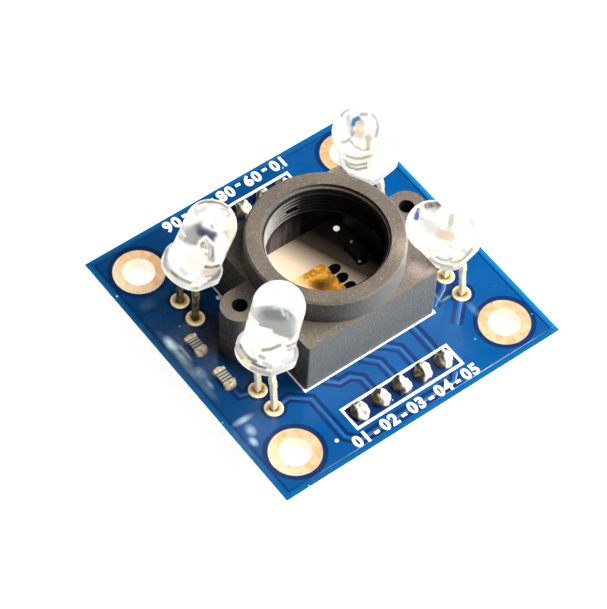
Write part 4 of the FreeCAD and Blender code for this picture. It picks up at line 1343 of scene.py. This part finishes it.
class AddHeaderJoints(bpy.types.Operator):
    """Adds the uneven solder joints of the header pins"""
    bl_idname = "sensor.add_header_joints"
    bl_label = "Add the header joints"

    def execute(self, context):
        look = context.scene.solder_look
        lump = look.roughness / look.joint_width * 2
        size = (look.joint_width * 0.95, look.joint_width * 1.05, look.joint_height * 1.9)
        middle = BOARD_TOP + look.joint_height * 0.12
        for name, side in (("front", -1), ("back", 1)):
            joints = [seated_blob("joint", size, (x, side * HEADER_ROW, middle), i + 11 * side, lump, 4, 2)
                      for i, x in enumerate(PIN_XS)]
            piece = joined("header_joints_" + name, joints)
            hand_over(piece, "joint", ["header_solder_" + name], 60)
        return {"FINISHED"}


class AddLampPads(bpy.types.Operator):
    """Adds the rounded gold rings round the lamp leads"""
    bl_idname = "sensor.add_lamp_pads"
    bl_label = "Add the lamp pads"

    def execute(self, context):
        ring_middle, ring_half, ring_reach = 0.59 * MM, 0.36 * MM, 0.95 * MM
        bpy.ops.mesh.primitive_circle_add(vertices=24, radius=ring_half, rotation=(math.pi / 2, 0, 0),
                                          location=(ring_middle, 0, 0.02 * MM))
        profile = begin("profile")
        profile.scale = (1, 0.32, 1)
        ring = lathe("pad_ring", profile, 48)
        reach = ring.data.attributes.new("reach", "FLOAT", "POINT")
        for vertex in ring.data.vertices:
            reach.data[vertex.index].value = vertex.co.xy.length / ring_reach
        rings = []
        for x, y in lamp_pad_places():
            copy = duplicate(ring)
            copy.location = (x, y, BOARD_TOP)
            settle(copy)
            rings.append(copy)
        bpy.data.objects.remove(ring)
        hand_over(joined("lamp_pad_rings", rings), "pads", ["lamp_pads"], 60)
        return {"FINISHED"}


class AddChipSolder(bpy.types.Operator):
    """Adds the rounded solder at the ends of the chip parts"""
    bl_idname = "sensor.add_chip_solder"
    bl_label = "Add the chip solder"

    def execute(self, context):
        blobs = {"lamp_resistor_back": [], "lamp_resistor_front": [], "supply_capacitor": []}
        seed = 40
        for node, ends in blobs.items():
            low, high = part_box(node)
            x = (low.x + high.x) / 2
            size = ((high.x - low.x) * 1.2, 0.72 * MM, (high.z - BOARD_TOP) * 2.1)
            for y in (low.y - 0.1 * MM, high.y + 0.1 * MM):
                ends.append(seated_blob("blob", size, (x, y, BOARD_TOP), seed, 0.12))
                seed += 1
        shaded = joined("capacitor_solder_blobs", blobs.pop("supply_capacitor"))
        hand_over(shaded, "shaded_solder", smooth=60)
        resistors = joined("chip_solder_blobs", sum(blobs.values(), []))
        hand_over(resistors, "tin_solder", ["chip_part_solder"], 60)
        return {"FINISHED"}


# Small lumps of glowing tin that stand for painted glints at the capacitor's ends: place and width in mm,
# and the seed of their lumps
GLINT_TIPS = ((5.4, 0.92, 0.55, 0.34, 91), (6.03, 3.1, 0.9, 0.3, 92))


class AddSensorDetail(bpy.types.Operator):
    """Adds the solder of the sensor's leads in painted shade, the pale field, a test dot with a painted
    highlight and painted glints at the capacitor
    """
    bl_idname = "sensor.add_sensor_detail"
    bl_label = "Add the sensor's detail"

    def execute(self, context):
        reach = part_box("sensor_leads")[1].x - 0.02 * MM
        size = (1.6 * MM, 1.12 * MM, 0.95 * MM)
        spots = [(side * reach, (row - 1.5) * SENSOR_PITCH, BOARD_TOP)
                 for side in (-1, 1) for row in range(4)]
        blobs = [seated_blob("blob", size, spot, 70 + i, 0.05) for i, spot in enumerate(spots)]
        solder = joined("sensor_lead_solder", blobs)
        hand_over(solder, "shaded_solder", ["sensor_solder"], 60)
        half = HOLDER_SIDE / 2 - 0.35 * MM
        field = box_piece("sensor_field", (-half, -half, BOARD_TOP), (half, half, BOARD_TOP + 0.03 * MM))
        bevelled(field, 0.01 * MM, 1)
        hand_over(field, "field")
        # Painted highlight: a white test dot that glows
        dot_x, dot_y, dot_radius, dot_height = 6.22 * MM, 5.7 * MM, 0.33 * MM, 0.1 * MM
        dot = rod_piece("test_dot", dot_x, dot_y, BOARD_TOP, BOARD_TOP + dot_height, dot_radius, 32)
        bevelled(dot, 0.05 * MM, 3)
        hand_over(dot, "bright_dot")
        # Painted glints: small lumps of glowing tin at the capacitor's ends
        tips = []
        for x, y, z, width, seed in GLINT_TIPS:
            tip = solder_blob("tip", (width * MM, width * MM * 0.8, 0.3 * MM), seed, 0.1)
            tip.location = (x * MM, y * MM, BOARD_TOP + z * MM)
            settle(tip)
            tips.append(tip)
        hand_over(joined("capacitor_glint_tips", tips), "end_cap_tin")
        return {"FINISHED"}


class SetStage(bpy.types.Operator):
    """Sets the floor, the lights and the camera"""
    bl_idname = "sensor.set_stage"
    bl_label = "Set the stage"

    def execute(self, context):
        look = context.scene.stage_look
        bpy.ops.mesh.primitive_plane_add(size=3, location=(0, 0, PIN_END))
        floor = begin("stage_floor")
        settle(floor)
        floor.data.materials.append(floor_finish(look))
        self.add_light("key_light", (0.46, -0.22, 0.52), 0.42, look.key_power)
        self.add_light("top_light", (0.05, -0.28, 0.72), 0.5, look.top_power)
        self.add_surround(look)
        self.add_camera(look)
        return {"FINISHED"}

    def add_light(self, name, spot, size, power):
        """A square soft light that points at the module."""
        bpy.ops.object.light_add(type="AREA", location=spot)
        light = bpy.context.object
        light.name = name
        light.data.size = size
        light.data.energy = power
        aim = (Vector((0, 0, 0)) - Vector(spot)).to_track_quat("-Z", "Y")
        light.rotation_euler = aim.to_euler()

    def add_surround(self, look):
        """A white surround, darker towards -X and where the board mirrors it to the camera.

        It shines through the clear pieces in full, and lights the others less.
        """
        world = bpy.data.worlds.new("plain_surround")
        world.use_nodes = True
        bpy.context.scene.world = world
        nodes = Nodes(world.node_tree)
        direction = nodes.node("ShaderNodeTexCoord").outputs["Generated"]
        across = nodes.node("ShaderNodeSeparateXYZ", {0: direction}).outputs[0]
        shade = nodes.ranged(across, -0.9, 0.1, look.sky_shade, look.sky)
        pair = {0: direction, 1: (0.37, 0.44, 0.82)}
        mirrored = nodes.node("ShaderNodeVectorMath", pair, operation="DOT_PRODUCT").outputs["Value"]
        fill = nodes.ranged(mirrored, 0.82, 0.95, look.fill, 0.08)
        through = nodes.node("ShaderNodeLightPath").outputs["Is Transmission Ray"]
        strength = nodes.product(shade, nodes.ranged(through, 0.0, 1.0, fill, 1.0))
        nodes.feed(strength, world.node_tree.nodes["Background"].inputs["Strength"])

    def add_camera(self, look):
        """The camera that was fitted to the board's corners in the photograph."""
        bpy.ops.object.camera_add()
        camera = bpy.context.object
        camera.name = "photo_camera"
        turn = Matrix((CAMERA_RIGHT, CAMERA_UP, CAMERA_BACK)).transposed().to_4x4()
        camera.matrix_world = Matrix.Translation(CAMERA_SPOT) @ turn
        camera.data.lens = look.focal_length
        camera.data.sensor_width = SENSOR_WIDTH
        camera.data.clip_start = 0.01
        bpy.context.scene.camera = camera
        bpy.context.scene.view_settings.view_transform = "Standard"


OPERATORS = (FinishSolids, AddCopper, AddPrint, AddLensThread, AddLamps, AddHeaderJoints, AddLampPads,
             AddChipSolder, AddSensorDetail, SetStage)
LOOKS = {"board_look": BoardLook, "print_look": PrintLook, "holder_look": HolderLook, "lamp_look": LampLook,
         "solder_look": SolderLook, "stage_look": StageLook}


class SensorPanel(bpy.types.Panel):
    """The module's sizes, colours and steps"""
    bl_idname = "VIEW3D_PT_sensor_module"
    bl_label = "Color sensor module"
    bl_space_type = "VIEW_3D"
    bl_region_type = "UI"
    bl_category = "Sensor"

    def draw(self, context):
        for look_name, look_class in LOOKS.items():
            look = getattr(context.scene, look_name)
            column = self.layout.column(align=True)
            for field in look_class.__annotations__:
                column.prop(look, field)
        for operator in OPERATORS:
            self.layout.operator(operator.bl_idname)


def register():
    """Adds the settings, the steps and the panel to Blender."""
    for look_name, look_class in LOOKS.items():
        bpy.utils.register_class(look_class)
        setattr(bpy.types.Scene, look_name, PointerProperty(type=look_class))
    for operator in OPERATORS:
        bpy.utils.register_class(operator)
    bpy.utils.register_class(SensorPanel)


def unregister():
    """Takes them out again."""
    bpy.utils.unregister_class(SensorPanel)
    for operator in reversed(OPERATORS):
        bpy.utils.unregister_class(operator)
    for look_name, look_class in LOOKS.items():
        delattr(bpy.types.Scene, look_name)
        bpy.utils.unregister_class(look_class)


def main():
    """Builds the scene step by step."""
    register()
    bpy.ops.sensor.set_stage()
    bpy.ops.sensor.finish_solids()
    bpy.ops.sensor.add_copper()
    bpy.ops.sensor.add_print()
    bpy.ops.sensor.add_lens_thread()
    bpy.ops.sensor.add_lamps()
    bpy.ops.sensor.add_header_joints()
    bpy.ops.sensor.add_lamp_pads()
    bpy.ops.sensor.add_chip_solder()
    bpy.ops.sensor.add_sensor_detail()


if __name__ == "__main__":
    main()
